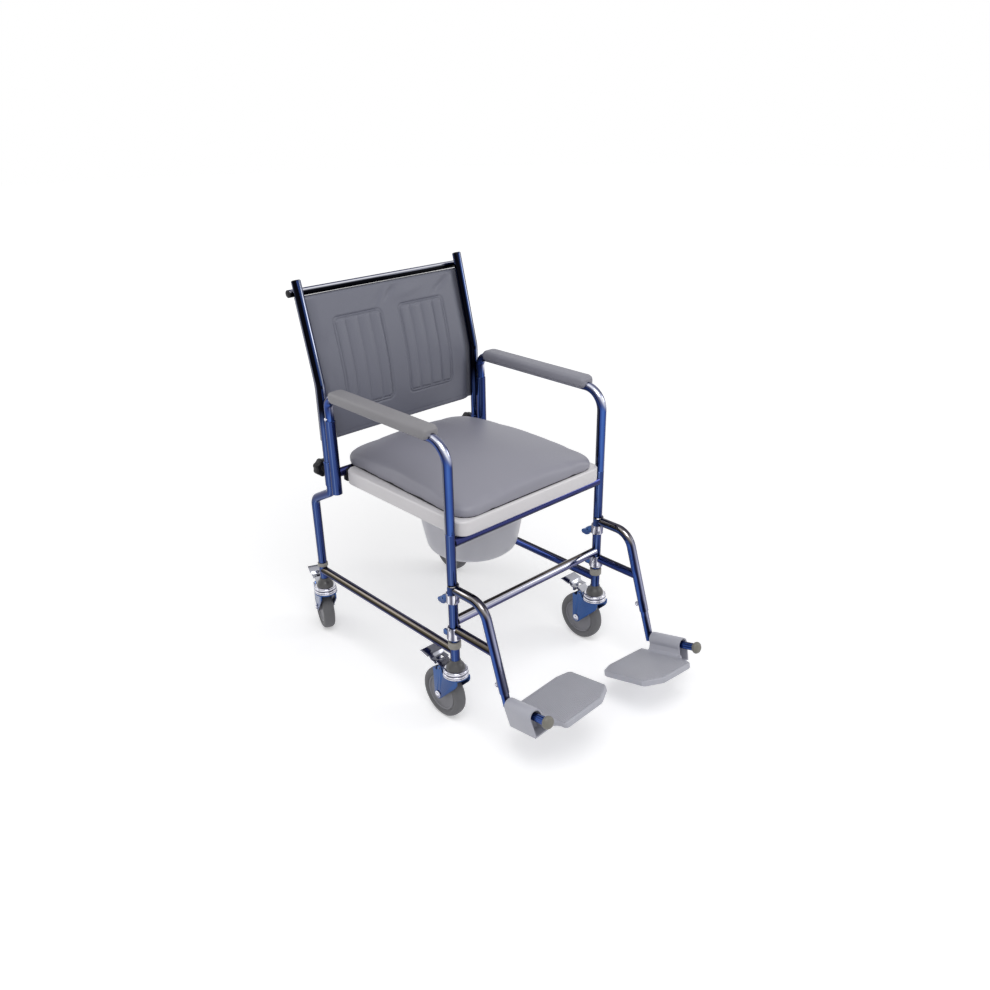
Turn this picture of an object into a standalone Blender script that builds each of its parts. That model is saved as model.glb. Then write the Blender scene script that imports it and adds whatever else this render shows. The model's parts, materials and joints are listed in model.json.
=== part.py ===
"""Wheeled commode chair: a chromed tube frame on four braked castors.

Metres, +Z up, the user faces -Y and the user's left is +X. The origin lies on the floor,
midway along, across and under the whole chair.
"""
import bmesh
import bpy
from math import copysign, cos, pi, radians, sin, tan
from mathutils import Matrix, Vector

for old in list(bpy.data.objects):
    bpy.data.objects.remove(old, do_unlink=True)

SIDES = {"right": -1, "left": 1}
GAP = 0.0003                      # between neighbouring solids

# Tubes
TUBE_R = 0.0111                   # frame, arms, hangers and back: 22.2 mm tube
SLEEVE_R = 0.0127                 # sleeves that the back and the arms plug into
SPIGOT_R = 0.0085                 # reduced front end of the arm, inside the front leg
SPIGOT_LENGTH = 0.040
ROUND = 12                        # facets round a tube

# Frame
HALF_WIDTH = 0.238                # legs, arms and uprights, from the middle plane
FRONT_Y = -0.1492                 # front legs
LEG_SPREAD = 0.527                # from the front legs back to the rear legs
BACK_SETBACK = 0.447              # from the front legs back to the uprights
RAIL_RISE = 0.0225                # side rail above the leg's foot
CROSS_RISE = 0.0995               # lower cross tube above the leg's foot
SEAT_TUBE_Z = 0.465               # front tube that carries the seat
REAR_TUBE_Z = 0.4995              # rear tube that carries the seat
ARM_JOINT_Z = 0.489               # top of the front leg, where the arm plugs in
REST_RING_Z = 0.212               # ring on the front leg that carries the leg rest
REST_RING_R = 0.0148
REST_RING_HEIGHT = 0.010
CRANK_LOW_Z = 0.401               # lower and upper corners of the rear leg's crank
CRANK_HIGH_Z = 0.443
CRANK_BEND = 0.026
SOCKET_BELOW = 0.0375             # of the upright's socket below and above the rear tube
SOCKET_ABOVE = 0.0245
RECEIVER_LOW_Z = 0.447
RECEIVER_TOP_Z = 0.634

# Castors
WHEEL_R = 0.0625
WHEEL_WIDTH = 0.030
HUB_R = 0.044
HUB_WIDTH = 0.026
TRAIL = 0.043                     # axle behind the swivel axis
WHEEL_SIDES = 24                  # facets of tyre and hub, one of them flat on the floor
HUB_RUNNING_GAP = 0.0001          # between the hub's bore and the axle
TREAD_SHOULDER = 0.010
AXLE_R = 0.0040
AXLE_HEAD_R = 0.0075
AXLE_HEAD_HEIGHT = 0.0045
FORK_SHEET = 0.003
FORK_CLEARANCE = 0.003            # beside and above the tyre
FORK_FRONT = -0.0255              # ends of the crown, from the swivel axis
FORK_REAR = 0.057
FORK_TIP_R = 0.012
RACE_R = 0.0285                   # chromed bearing rings
RACE_HEIGHT = 0.0085
CONE_TOP_R = 0.0125
CONE_LOW_R = 0.0215
CONE_HEIGHT = 0.0235
PEDAL_Y = 0.034                   # pedal pivot behind the swivel axis, and above the crown
PEDAL_RISE = 0.009
PEDAL_SHEET = 0.0025
PEDAL_BODY_HALF = 0.0210          # behind the fork's ears
PEDAL_LIP_HALF = 0.0245
SHOE_REACH = 0.0285               # front of the brake shoe behind the pedal's pivot
SHOE_LENGTH = 0.006
CASTOR_TURN = {"front_right": 0, "front_left": 0, "rear_right": -20, "rear_left": 0}

# Arms
ARM_Z = 0.691
ARM_BEND = 0.050
ARM_REAR_BEND = 0.024
ARM_POST_DEPTH = 0.100            # of the rear post inside its receiver
PAD_HALF_WIDTH = 0.022
PAD_HEIGHT = 0.027
PAD_DROP = 0.0035                 # underside of the pad below the tube's axis
PAD_FRONT = 0.044                 # behind the front leg
PAD_REAR = 0.030                  # in front of the arm's rear post
PAD_END = 0.012                   # length of the pad's rounded ends
PAD_ROUND = 16                    # facets round the pad
PAD_SQUARENESS = 0.62             # 1 is an ellipse, less is squarer
BUTTON_R = 0.0045
BUTTON_PROUD = 0.0025
BUTTON_GRIP = 0.006               # of the button inside the tube

# Leg rests
HANGER_TOP_Z = 0.356
HANGER_KNEE = 0.099               # knee of the hanger in front of the leg
HANGER_RAKE = 17.7                # degrees from upright
HANGER_BEND = 0.048
HANGER_END_Z = 0.163
BRACE_Z = 0.252
COLLAR_R = 0.0150
UPPER_COLLAR = (0.322, 0.346)
LOWER_COLLAR = (0.229, 0.2585)
LATCH_Y = 0.026                   # pin of the release lever behind the leg's axis
LATCH_Z = 0.324
LEVER_REACH = 0.022
LEVER_HALF = 0.0045
LEVER_PIN_R = 0.002
LUG_R = 0.007
LUG_SHEET = 0.003
BOLT_R = 0.003
BOLT_RISE = 0.012                 # clamp bolt above the hanger's end
INNER_R = 0.0095                  # extension tube
INNER_BORE_DEPTH = 0.145
INNER_GRIP = {"right": 0.110, "left": 0.063}     # of the extension inside the hanger
FOOTREST_DROP = {"right": 0.1396, "left": 0.0950}  # height of the footplate's bar
FOOTREST_TURN = {"right": 6.0, "left": 1.0}      # degrees outwards about the extension
PLATE_TILT = {"right": 7.0, "left": 4.5}         # degrees, inner edge up
BAR_PITCH = 14.0                  # degrees, front end up
BAR_R = 0.0080
BAR_LENGTH = 0.1325
BAR_CAP_R = 0.0143
BAR_CAP_LENGTH = 0.0155
BARREL_R = 0.0170
BARREL_START = 0.0125             # in front of the extension's axis
BARREL_END = 0.101
PLATE_DROP = 0.0215               # top of the plate below the bar's axis
PLATE_THICKNESS = 0.016
PLATE_INNER = 0.180               # inner edge from the bar
PLATE_OUTER = 0.020
PLATE_REAR = -0.012
PLATE_FRONT = 0.148
PLATE_REAR_CORNER = (0.034, 0.014)
PLATE_FRONT_CORNER = (0.042, 0.027)
SKIRT_DROP = 0.009                # of the barrel's skirt below the plate
NOTCH_R = 0.034                   # hollow in the plate's outer front corner, round the bar's end

# Seat
SEAT_INSET = 0.0140               # edge of the seat inside the legs
SEAT_FRONT = -0.020
SEAT_REAR = 0.408
SEAT_HEIGHT = 0.035
SEAT_WALL = 0.0035
SEAT_CORNER = 0.028
APERTURE_HALF_WIDTH = 0.105
APERTURE_HALF_LENGTH = 0.130
LEDGE_X = 0.190                   # brackets that carry the seat's rear edge
LEDGE_WIDTH = 0.024
LEDGE_REACH = 0.030
LEDGE_SHEET = 0.003
PAN_SETBACK = 0.202               # middle of the pan behind the front legs
PAN_WALL = 0.0028
PAN_RIM_R = 0.148
PAN_MOUTH_R = 0.1325
PAN_HEEL_R = 0.112                # where the side turns in to the floor
PAN_FLOOR_R = 0.070
PAN_RIM_SHEET = 0.003
PAN_DEPTH = 0.168
PAN_SIDE_GAP = 0.0015             # between the pan's rim and the runners
RUNNER_SHEET = 0.0025
RUNNER_LIP = 0.012
RUNNER_DROP = 0.012               # below the seat's lower edge
RUNNER_ENDS = (0.030, 0.370)      # behind the front legs
CUSHION_FRONT_INSET = 0.016       # edge of the cushion inside the legs
CUSHION_REAR_INSET = 0.035
CUSHION_FRONT = -0.024
CUSHION_REAR = 0.460
CUSHION_SIDE = 0.022              # height of the side, up to the shoulder
CUSHION_CROWN = 0.029             # rise of the middle above the shoulder
CUSHION_CORNER = 0.048

# Back
BEND_Z = 0.712
BACK_RAKE = 13.7                  # degrees from upright
BACK_TOP_Z = 0.945
BACK_BEND = 0.060
UPRIGHT_PLUG = 0.058              # of the upright inside its socket
PUSH_BAR_R = 0.0088
PUSH_BAR_DROP = 0.031             # below the top of the uprights
PUSH_BAR_OVERHANG = 0.019         # beyond the uprights
BACK_PAD_LOW_Z = 0.573
BACK_PAD_DROP = 0.0405            # top edge below the top of the uprights
BACK_PAD_OVERHANG = 0.003
BACK_PAD_THICKNESS = 0.013        # behind the uprights
BACK_PAD_CROWN = 0.0135           # bulge forwards between the uprights
HEM_HEIGHT = 0.011
CHANNEL_X = (0.025, 0.166)        # inner and outer line of each embossed panel
CHANNEL_ENDS = (0.061, 0.0535)    # inside the pad's lower and top edges
CHANNELS = 4
CHANNEL_DEPTH = 0.0022
CHANNEL_HALF = 0.003
KNOB_R = 0.0235
KNOB_LOBES = 7
KNOB_THICKNESS = 0.020
KNOB_STAND_OFF = 0.009
KNOB_STUD_R = 0.004
KNOB_NECK_R = 0.0085

# Heights and places that follow
CROWN_Z = 2 * WHEEL_R + FORK_CLEARANCE
FORK_HALF = WHEEL_WIDTH / 2 + FORK_CLEARANCE + FORK_SHEET
LOWER_RACE_Z = CROWN_Z + FORK_SHEET
CUP_Z = LOWER_RACE_Z + RACE_HEIGHT + GAP
PEDAL_Z = LOWER_RACE_Z + PEDAL_RISE
FOOT_Z = CUP_Z + RACE_HEIGHT + CONE_HEIGHT
RAIL_Z = FOOT_Z + RAIL_RISE
CROSS_Z = FOOT_Z + CROSS_RISE
REAR_Y = FRONT_Y + LEG_SPREAD
BACK_Y = FRONT_Y + BACK_SETBACK
RECEIVER_Y = BACK_Y - 2 * SLEEVE_R - GAP
SOCKET_LOW_Z = REAR_TUBE_Z - SOCKET_BELOW
SOCKET_TOP_Z = REAR_TUBE_Z + SOCKET_ABOVE
SEAT_LOW_Z = SEAT_TUBE_Z + TUBE_R + GAP
SEAT_TOP_Z = SEAT_LOW_Z + SEAT_HEIGHT
CUSHION_LOW_Z = SEAT_TOP_Z + GAP
RUNNER_Z = SEAT_LOW_Z - RUNNER_DROP + RUNNER_SHEET
SEAT_HALF_WIDTH = HALF_WIDTH - SEAT_INSET
CUSHION_FRONT_HALF = HALF_WIDTH - CUSHION_FRONT_INSET
CUSHION_REAR_HALF = HALF_WIDTH - CUSHION_REAR_INSET
PUSH_BAR_HALF = HALF_WIDTH + PUSH_BAR_OVERHANG
BACK_PAD_HALF = HALF_WIDTH + BACK_PAD_OVERHANG
PUSH_BAR_Z = BACK_TOP_Z - PUSH_BAR_DROP
BACK_PAD_TOP_Z = BACK_TOP_Z - BACK_PAD_DROP
CHANNEL_Z = (BACK_PAD_LOW_Z + CHANNEL_ENDS[0], BACK_PAD_TOP_Z - CHANNEL_ENDS[1])


def material(name, colour, roughness, metallic=0.0, alpha=1.0):
    """Principled material with the finish of one kind of piece."""
    made = bpy.data.materials.new(name)
    made.use_nodes = True
    shader = made.node_tree.nodes["Principled BSDF"]
    shader.inputs["Base Color"].default_value = (*colour, 1)
    shader.inputs["Roughness"].default_value = roughness
    shader.inputs["Metallic"].default_value = metallic
    shader.inputs["Alpha"].default_value = alpha
    made.diffuse_color = (*colour, alpha)
    return made


CHROME = material("chrome", (0.55, 0.57, 0.62), 0.12, 1.0)
ZINC = material("zinc", (0.50, 0.52, 0.55), 0.30, 1.0)
VINYL = material("grey_vinyl", (0.23, 0.23, 0.26), 0.55)
ARM_FOAM = material("arm_foam", (0.33, 0.32, 0.32), 0.60)
SEAT_PLASTIC = material("seat_plastic", (0.78, 0.77, 0.80), 0.40)
PAN_PLASTIC = material("pan_plastic", (0.62, 0.63, 0.66), 0.35, alpha=0.6)
PLATE_PLASTIC = material("plate_plastic", (0.42, 0.42, 0.45), 0.50)
HUB_PLASTIC = material("hub_plastic", (0.28, 0.28, 0.31), 0.50)
TYRE_RUBBER = material("tyre_rubber", (0.16, 0.16, 0.17), 0.70)
BLACK_PLASTIC = material("black_plastic", (0.02, 0.02, 0.025), 0.45)


def finished(bm):
    """Mesh of a bmesh, its doubles merged and its faces turned outwards."""
    bmesh.ops.remove_doubles(bm, verts=bm.verts, dist=1e-6)
    bmesh.ops.recalc_face_normals(bm, faces=bm.faces)
    mesh = bpy.data.meshes.new("solid")
    bm.to_mesh(mesh)
    bm.free()
    return mesh


def add_piece(name, mesh, finish, parent=None, smooth_under=35):
    """Node of the chair, shaded smooth between faces that meet at a flat angle."""
    mesh.name = name
    mesh.shade_smooth()
    mesh.set_sharp_from_angle(angle=radians(smooth_under))
    mesh.materials.clear()
    mesh.materials.append(finish)
    piece = bpy.data.objects.new(name, mesh)
    bpy.context.scene.collection.objects.link(piece)
    piece.parent = parent
    return piece


def add_joint_frame(name, place, parent=None, turn=None):
    """Empty on a joint's axis, which the pieces that move there are parented to."""
    joint = bpy.data.objects.new(name, None)
    bpy.context.scene.collection.objects.link(joint)
    joint.parent = parent
    joint.location = place
    if turn is not None:
        joint.rotation_euler = turn
    return joint


def combined(base, tool, operation):
    """Mesh of base with the tool joined to it (UNION) or cut out of it (DIFFERENCE)."""
    work = bpy.data.objects.new("work", base)
    other = bpy.data.objects.new("other", tool)
    for item in (work, other):
        bpy.context.scene.collection.objects.link(item)
    cut = work.modifiers.new("boolean", "BOOLEAN")
    cut.operation = operation
    cut.object = other
    cut.solver = "EXACT"
    seen = work.evaluated_get(bpy.context.evaluated_depsgraph_get())
    result = bpy.data.meshes.new_from_object(seen)
    for item in (work, other):
        bpy.data.objects.remove(item)
    bm = bmesh.new()
    bm.from_mesh(result)
    bmesh.ops.dissolve_degenerate(bm, dist=1e-6, edges=bm.edges)
    bmesh.ops.remove_doubles(bm, verts=bm.verts, dist=1e-6)
    bm.to_mesh(result)
    bm.free()
    return result


def joined(base, *tools):
    for tool in tools:
        base = combined(base, tool, "UNION")
    return base


def cut(base, *tools):
    for tool in tools:
        base = combined(base, tool, "DIFFERENCE")
    return base


def bent_path(corners, radii, step=18):
    """Points of a tube's axis: straight runs, and an arc of the given radius at each inner corner."""
    points = [Vector(corners[0])]
    for before, corner, after, radius in zip(corners, corners[1:], corners[2:], radii):
        corner = Vector(corner)
        back = (Vector(before) - corner).normalized()
        ahead = (Vector(after) - corner).normalized()
        turn = pi - back.angle(ahead)
        reach = radius * tan(turn / 2)
        centre = corner + (back + ahead).normalized() * radius / cos(turn / 2)
        start = corner + back * reach - centre
        axis = start.cross(corner + ahead * reach - centre).normalized()
        steps = max(2, round(turn / radians(step)))
        for index in range(steps + 1):
            points.append(centre + Matrix.Rotation(turn * index / steps, 3, axis) @ start)
    points.append(Vector(corners[-1]))
    return points


def bar(points, radius, sides=ROUND):
    """Closed round bar along a path, its rings square to it."""
    bm = bmesh.new()
    points = [Vector(point) for point in points]
    tangents = []
    for index, point in enumerate(points):
        ahead = points[min(index + 1, len(points) - 1)] - point
        behind = point - points[max(index - 1, 0)]
        tangents.append((ahead.normalized() + behind.normalized()).normalized())
    across = Vector((0, 0, 1)) if abs(tangents[0].x) > 0.9 else Vector((1, 0, 0))
    rings = []
    for point, tangent in zip(points, tangents):
        across = (across - tangent * across.dot(tangent)).normalized()
        over = tangent.cross(across)
        ring = []
        for index in range(sides):
            angle = 2 * pi * (index + 0.5) / sides
            ring.append(bm.verts.new(point + (across * cos(angle) + over * sin(angle)) * radius))
        rings.append(ring)
    for low, high in zip(rings, rings[1:]):
        for index in range(sides):
            after = (index + 1) % sides
            bm.faces.new((low[index], low[after], high[after], high[index]))
    bm.faces.new(reversed(rings[0]))
    bm.faces.new(rings[-1])
    return finished(bm)


def rod(start, end, radius, sides=ROUND):
    return bar([start, end], radius, sides)


def turned(profile, sides=24):
    """Body of revolution about Z from a closed (radius, height) outline."""
    bm = bmesh.new()
    verts = [bm.verts.new((radius, 0, height)) for radius, height in profile]
    edges = []
    for first, second in zip(verts, verts[1:] + verts[:1]):
        if first.co.x > 1e-7 or second.co.x > 1e-7:
            edges.append(bm.edges.new((first, second)))
    bmesh.ops.spin(bm, geom=verts + edges, cent=(0, 0, 0), axis=(0, 0, 1), angle=2 * pi,
                   steps=sides, use_merge=True)
    return finished(bm)


def prism(outline, low, high, normal="Z"):
    """Extruded outline. Its points are (x, y) for Z, (y, z) for X and (x, z) for Y."""
    def lift(first, second, height):
        if normal == "X":
            return height, first, second
        if normal == "Y":
            return first, height, second
        return first, second, height

    bm = bmesh.new()
    base = bm.faces.new([bm.verts.new(lift(a, b, low)) for a, b in outline])
    grown = bmesh.ops.extrude_face_region(bm, geom=[base])
    far = [item for item in grown["geom"] if isinstance(item, bmesh.types.BMVert)]
    bmesh.ops.translate(bm, verts=far, vec=Vector(lift(0, 0, high)) - Vector(lift(0, 0, low)))
    return finished(bm)


def block(low, high):
    outline = [(low[0], low[1]), (high[0], low[1]), (high[0], high[1]), (low[0], high[1])]
    return prism(outline, low[2], high[2])


def arc(centre, radius, start, end, steps):
    """Points of an arc, from one angle to another in degrees."""
    angles = [radians(start + (end - start) * index / steps) for index in range(steps + 1)]
    return [(centre[0] + radius * cos(angle), centre[1] + radius * sin(angle)) for angle in angles]


def softened(mesh, width, segments=2, angle=30):
    """Mesh with its sharp edges rounded."""
    bm = bmesh.new()
    bm.from_mesh(mesh)
    sharp = [edge for edge in bm.edges if edge.is_manifold and edge.calc_face_angle() > radians(angle)]
    bmesh.ops.bevel(bm, geom=sharp, offset=width, segments=segments, profile=0.5, affect="EDGES",
                    clamp_overlap=True, material=-1)
    return finished(bm)


def moved(mesh, matrix):
    mesh.transform(matrix)
    return mesh


# Frame

def front_leg(side, x):
    """Leg with the bore that takes the arm, and the ring that carries the leg rest."""
    leg = rod((x, FRONT_Y, FOOT_Z + GAP), (x, FRONT_Y, ARM_JOINT_Z), TUBE_R)
    ring = rod((x, FRONT_Y, REST_RING_Z), (x, FRONT_Y, REST_RING_Z + REST_RING_HEIGHT), REST_RING_R)
    bore = rod((x, FRONT_Y, ARM_JOINT_Z - SPIGOT_LENGTH - 2 * GAP), (x, FRONT_Y, ARM_JOINT_Z + TUBE_R),
               SPIGOT_R + GAP)
    add_piece(f"front_leg_{side}", cut(joined(leg, ring), bore), CHROME)


def rear_leg(side, x):
    """Leg cranked forwards under the seat, with the socket that takes the back's upright."""
    corners = [(x, REAR_Y, FOOT_Z + GAP), (x, REAR_Y, CRANK_LOW_Z), (x, BACK_Y, CRANK_HIGH_Z),
               (x, BACK_Y, SOCKET_LOW_Z + GAP)]
    high_bend = min(CRANK_BEND, SOCKET_LOW_Z - CRANK_HIGH_Z)
    leg = bar(bent_path(corners, [CRANK_BEND, high_bend]), TUBE_R)
    socket = rod((x, BACK_Y, SOCKET_LOW_Z), (x, BACK_Y, SOCKET_TOP_Z), SLEEVE_R)
    bore = rod((x, BACK_Y, SOCKET_TOP_Z - UPRIGHT_PLUG - GAP), (x, BACK_Y, SOCKET_TOP_Z + TUBE_R),
               TUBE_R + GAP)
    stud_hole = rod((x, BACK_Y, REAR_TUBE_Z), (x, BACK_Y + 2 * SLEEVE_R, REAR_TUBE_Z), KNOB_STUD_R + GAP)
    add_piece(f"rear_leg_{side}", cut(joined(leg, socket), bore, stud_hole), CHROME)


def arm_receiver(side, x):
    """Open tube that takes the arm's rear post."""
    sleeve = rod((x, RECEIVER_Y, RECEIVER_LOW_Z), (x, RECEIVER_Y, RECEIVER_TOP_Z), SLEEVE_R)
    bore = rod((x, RECEIVER_Y, RECEIVER_LOW_Z - TUBE_R), (x, RECEIVER_Y, RECEIVER_TOP_Z + TUBE_R),
               TUBE_R + GAP)
    add_piece(f"arm_receiver_{side}", cut(sleeve, bore), CHROME)


def side_rail(side, x):
    """Rail along the floor side, its ends coped to the legs."""
    rail = rod((x, FRONT_Y, RAIL_Z), (x, REAR_Y, RAIL_Z), TUBE_R)
    copes = [rod((x, y, FOOT_Z - TUBE_R), (x, y, REST_RING_Z + TUBE_R), TUBE_R + GAP)
             for y in (FRONT_Y, REAR_Y)]
    add_piece(f"side_rail_{side}", cut(rail, *copes), CHROME)


def cross_tube(name, y, z, leg_r, extras=()):
    """Tube across the frame, its ends coped to the legs or receivers."""
    tube = rod((-HALF_WIDTH, y, z), (HALF_WIDTH, y, z), TUBE_R)
    for extra in extras:
        tube = joined(tube, extra)
    copes = [rod((x, y, z - 3 * TUBE_R), (x, y, z + 3 * TUBE_R), leg_r + GAP)
             for x in (-HALF_WIDTH, HALF_WIDTH)]
    add_piece(name, cut(tube, *copes), CHROME)


def seat_ledges():
    """Brackets that hang from the rear tube and hold the seat's rear edge."""
    seat_rear = FRONT_Y + SEAT_REAR
    made = []
    for sign in SIDES.values():
        low_x = sign * LEDGE_X - LEDGE_WIDTH / 2
        top = SEAT_LOW_Z - GAP
        outline = [(seat_rear - LEDGE_REACH, top), (seat_rear - LEDGE_REACH, top - LEDGE_SHEET),
                   (RECEIVER_Y, top - LEDGE_SHEET), (RECEIVER_Y, REAR_TUBE_Z),
                   (RECEIVER_Y - LEDGE_SHEET, REAR_TUBE_Z), (RECEIVER_Y - LEDGE_SHEET, top)]
        made.append(prism(outline, low_x, low_x + LEDGE_WIDTH, "X"))
    return made


def build_frame():
    for side, sign in SIDES.items():
        x = sign * HALF_WIDTH
        front_leg(side, x)
        rear_leg(side, x)
        arm_receiver(side, x)
        side_rail(side, x)
    cross_tube("lower_cross_tube", FRONT_Y, CROSS_Z, TUBE_R)
    cross_tube("seat_front_tube", FRONT_Y, SEAT_TUBE_Z, TUBE_R)
    cross_tube("seat_rear_tube", RECEIVER_Y, REAR_TUBE_Z, SLEEVE_R, seat_ledges())


# Castors, in a frame with the swivel axis at x = y = 0 and the wheel trailing towards +Y

def cup_mesh():
    """Grey cone round the stem over the upper bearing ring, on the leg's foot."""
    top = FOOT_Z
    ring = CUP_Z + RACE_HEIGHT
    edge = 0.0012
    return turned([(0, CUP_Z), (RACE_R - edge, CUP_Z), (RACE_R, (CUP_Z + ring) / 2), (RACE_R - edge, ring),
                   (CONE_LOW_R, ring), (CONE_LOW_R - 0.0010, ring + 0.22 * CONE_HEIGHT),
                   (CONE_LOW_R - 0.0035, ring + 0.50 * CONE_HEIGHT),
                   (CONE_TOP_R + 0.0015, ring + 0.78 * CONE_HEIGHT), (CONE_TOP_R, top), (0, top)], 18)


def fork_mesh():
    """Pressed fork: lower bearing ring, crown and two tapering blades with the pedal's ears."""
    inner = FORK_HALF - FORK_SHEET
    ear_r = 0.0065
    ear_foot = 0.009
    crown_top = CROWN_Z + FORK_SHEET
    outline = [(FORK_FRONT, crown_top), (FORK_FRONT, CROWN_Z - 0.009), (FORK_FRONT + 0.004, CROWN_Z - 0.017)]
    outline += arc((TRAIL, WHEEL_R), FORK_TIP_R, 225, 350, 5)
    outline += [(FORK_REAR - 0.001, CROWN_Z - 0.022), (FORK_REAR, crown_top), (PEDAL_Y + ear_foot, crown_top)]
    outline += arc((PEDAL_Y, PEDAL_Z), ear_r, 20, 160, 3)
    outline += [(PEDAL_Y - ear_foot, crown_top)]
    body = prism(outline, -FORK_HALF, FORK_HALF, "X")
    top = LOWER_RACE_Z + RACE_HEIGHT
    seat_r = RACE_R + 0.0015
    crown = turned([(0, CROWN_Z), (seat_r, CROWN_Z), (seat_r, LOWER_RACE_Z), (RACE_R, LOWER_RACE_Z),
                    (RACE_R, top), (0, top)], 18)
    between_blades = block((-inner, 2 * FORK_FRONT, 0), (inner, 2 * FORK_REAR, CROWN_Z))
    between_ears = block((-inner, PEDAL_Y - 2 * ear_foot, crown_top),
                         (inner, PEDAL_Y + 2 * ear_foot, 2 * CROWN_Z))
    body = cut(body, between_blades, between_ears)
    axle_hole = rod((-2 * FORK_HALF, TRAIL, WHEEL_R), (2 * FORK_HALF, TRAIL, WHEEL_R), AXLE_R + GAP, 10)
    pin_hole = rod((-2 * FORK_HALF, PEDAL_Y, PEDAL_Z), (2 * FORK_HALF, PEDAL_Y, PEDAL_Z), PEDAL_SHEET + GAP, 8)
    return cut(joined(body, crown), axle_hole, pin_hole)


def axle_mesh():
    """Axle bolt with its head and nut outside the blades."""
    reach = FORK_HALF + GAP
    end = reach + AXLE_HEAD_HEIGHT
    bolt = turned([(0, -end), (AXLE_HEAD_R, -end), (AXLE_HEAD_R, -reach), (AXLE_R, -reach), (AXLE_R, reach),
                   (AXLE_HEAD_R, reach), (AXLE_HEAD_R, end), (0, end)], 10)
    return moved(bolt, Matrix.Translation((0, TRAIL, WHEEL_R)) @ Matrix.Rotation(pi / 2, 4, "Y"))


def on_axle(profile):
    """Body turned round the axle, with one of its facets level at the floor."""
    level = Matrix.Rotation(pi / WHEEL_SIDES, 4, "Z")
    place = Matrix.Translation((0, TRAIL, WHEEL_R)) @ Matrix.Rotation(pi / 2, 4, "Y")
    return moved(turned(profile, WHEEL_SIDES), place @ level)


def hub_mesh():
    """Wheel centre with its boss, web and rim."""
    half = HUB_WIDTH / 2
    dish = half - 0.003
    boss = WHEEL_WIDTH / 2 + FORK_CLEARANCE - GAP
    boss_r = 0.011
    foot_r = 0.013
    bore = AXLE_R + HUB_RUNNING_GAP
    return on_axle([(bore, -boss), (boss_r, -boss), (foot_r, -dish), (HUB_R, -half), (HUB_R, half),
                    (foot_r, dish), (boss_r, boss), (bore, boss)])


def tyre_mesh():
    """Tyre with a rounded tread, its facets touching the wheel's circle."""
    half = WHEEL_WIDTH / 2
    tread = WHEEL_R / cos(pi / WHEEL_SIDES) - TREAD_SHOULDER
    bead = HUB_R + GAP
    lip = 0.003
    outline = [(bead, lip - half), (bead + lip, -half)]
    outline += arc((tread, TREAD_SHOULDER - half), TREAD_SHOULDER, -70, 0, 2)
    outline += arc((tread, half - TREAD_SHOULDER), TREAD_SHOULDER, 0, 70, 2)
    outline += [(bead + lip, half), (bead, half - lip)]
    return on_axle(outline)


def pedal_mesh():
    """Two-level brake pedal with its pivot pin and the shoe that meets the tyre."""
    half = FORK_HALF - FORK_SHEET - 0.001
    pin_half = FORK_HALF + 0.0015
    profile = [(-0.0035, 0.0005), (0.006, 0.0035), (0.014, 0.0085), (0.030, 0.0095), (0.036, 0.0160),
               (0.060, 0.0210), (0.064, 0.0190)]
    upper = [(PEDAL_Y + y, PEDAL_Z + z + PEDAL_SHEET / 2) for y, z in profile]
    lower = [(PEDAL_Y + y, PEDAL_Z + z - PEDAL_SHEET / 2) for y, z in reversed(profile)]
    sheet = prism(upper + lower, -half, half, "X")
    body = prism(upper[2:] + lower[:-2], -PEDAL_BODY_HALF, PEDAL_BODY_HALF, "X")
    lip = prism(upper[4:] + lower[:-4], -PEDAL_LIP_HALF, PEDAL_LIP_HALF, "X")
    pin = rod((-pin_half, PEDAL_Y, PEDAL_Z), (pin_half, PEDAL_Y, PEDAL_Z), PEDAL_SHEET, 8)
    shoe_y = PEDAL_Y + SHOE_REACH
    shoe = block((-half / 2, shoe_y, CROWN_Z + FORK_SHEET), (half / 2, shoe_y + SHOE_LENGTH, PEDAL_Z + 0.0095))
    slot_half = 0.55 * half
    slot = block((-slot_half, shoe_y - 0.012, PEDAL_Z), (slot_half, shoe_y - 0.002, PEDAL_Z + 0.02))
    return cut(joined(sheet, body, lip, pin, shoe), slot)


def build_castors():
    meshes = {"cup": (cup_mesh(), HUB_PLASTIC), "fork": (fork_mesh(), ZINC), "axle": (axle_mesh(), ZINC),
              "hub": (hub_mesh(), HUB_PLASTIC), "tyre": (tyre_mesh(), TYRE_RUBBER),
              "pedal": (pedal_mesh(), CHROME)}
    for corner, turn in CASTOR_TURN.items():
        end, side = corner.split("_")
        place = (SIDES[side] * HALF_WIDTH, FRONT_Y if end == "front" else REAR_Y, 0)
        swivel = add_joint_frame(f"swivel_{corner}", place, turn=(0, 0, radians(turn)))
        for part, (mesh, finish) in meshes.items():
            add_piece(f"castor_{part}_{corner}", mesh.copy(), finish, swivel)


# Arms

def arm_path(x, low):
    return bent_path([(x, FRONT_Y, low), (x, FRONT_Y, ARM_Z), (x, RECEIVER_Y, ARM_Z),
                      (x, RECEIVER_Y, RECEIVER_TOP_Z - ARM_POST_DEPTH)], [ARM_BEND, ARM_REAR_BEND])


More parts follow.
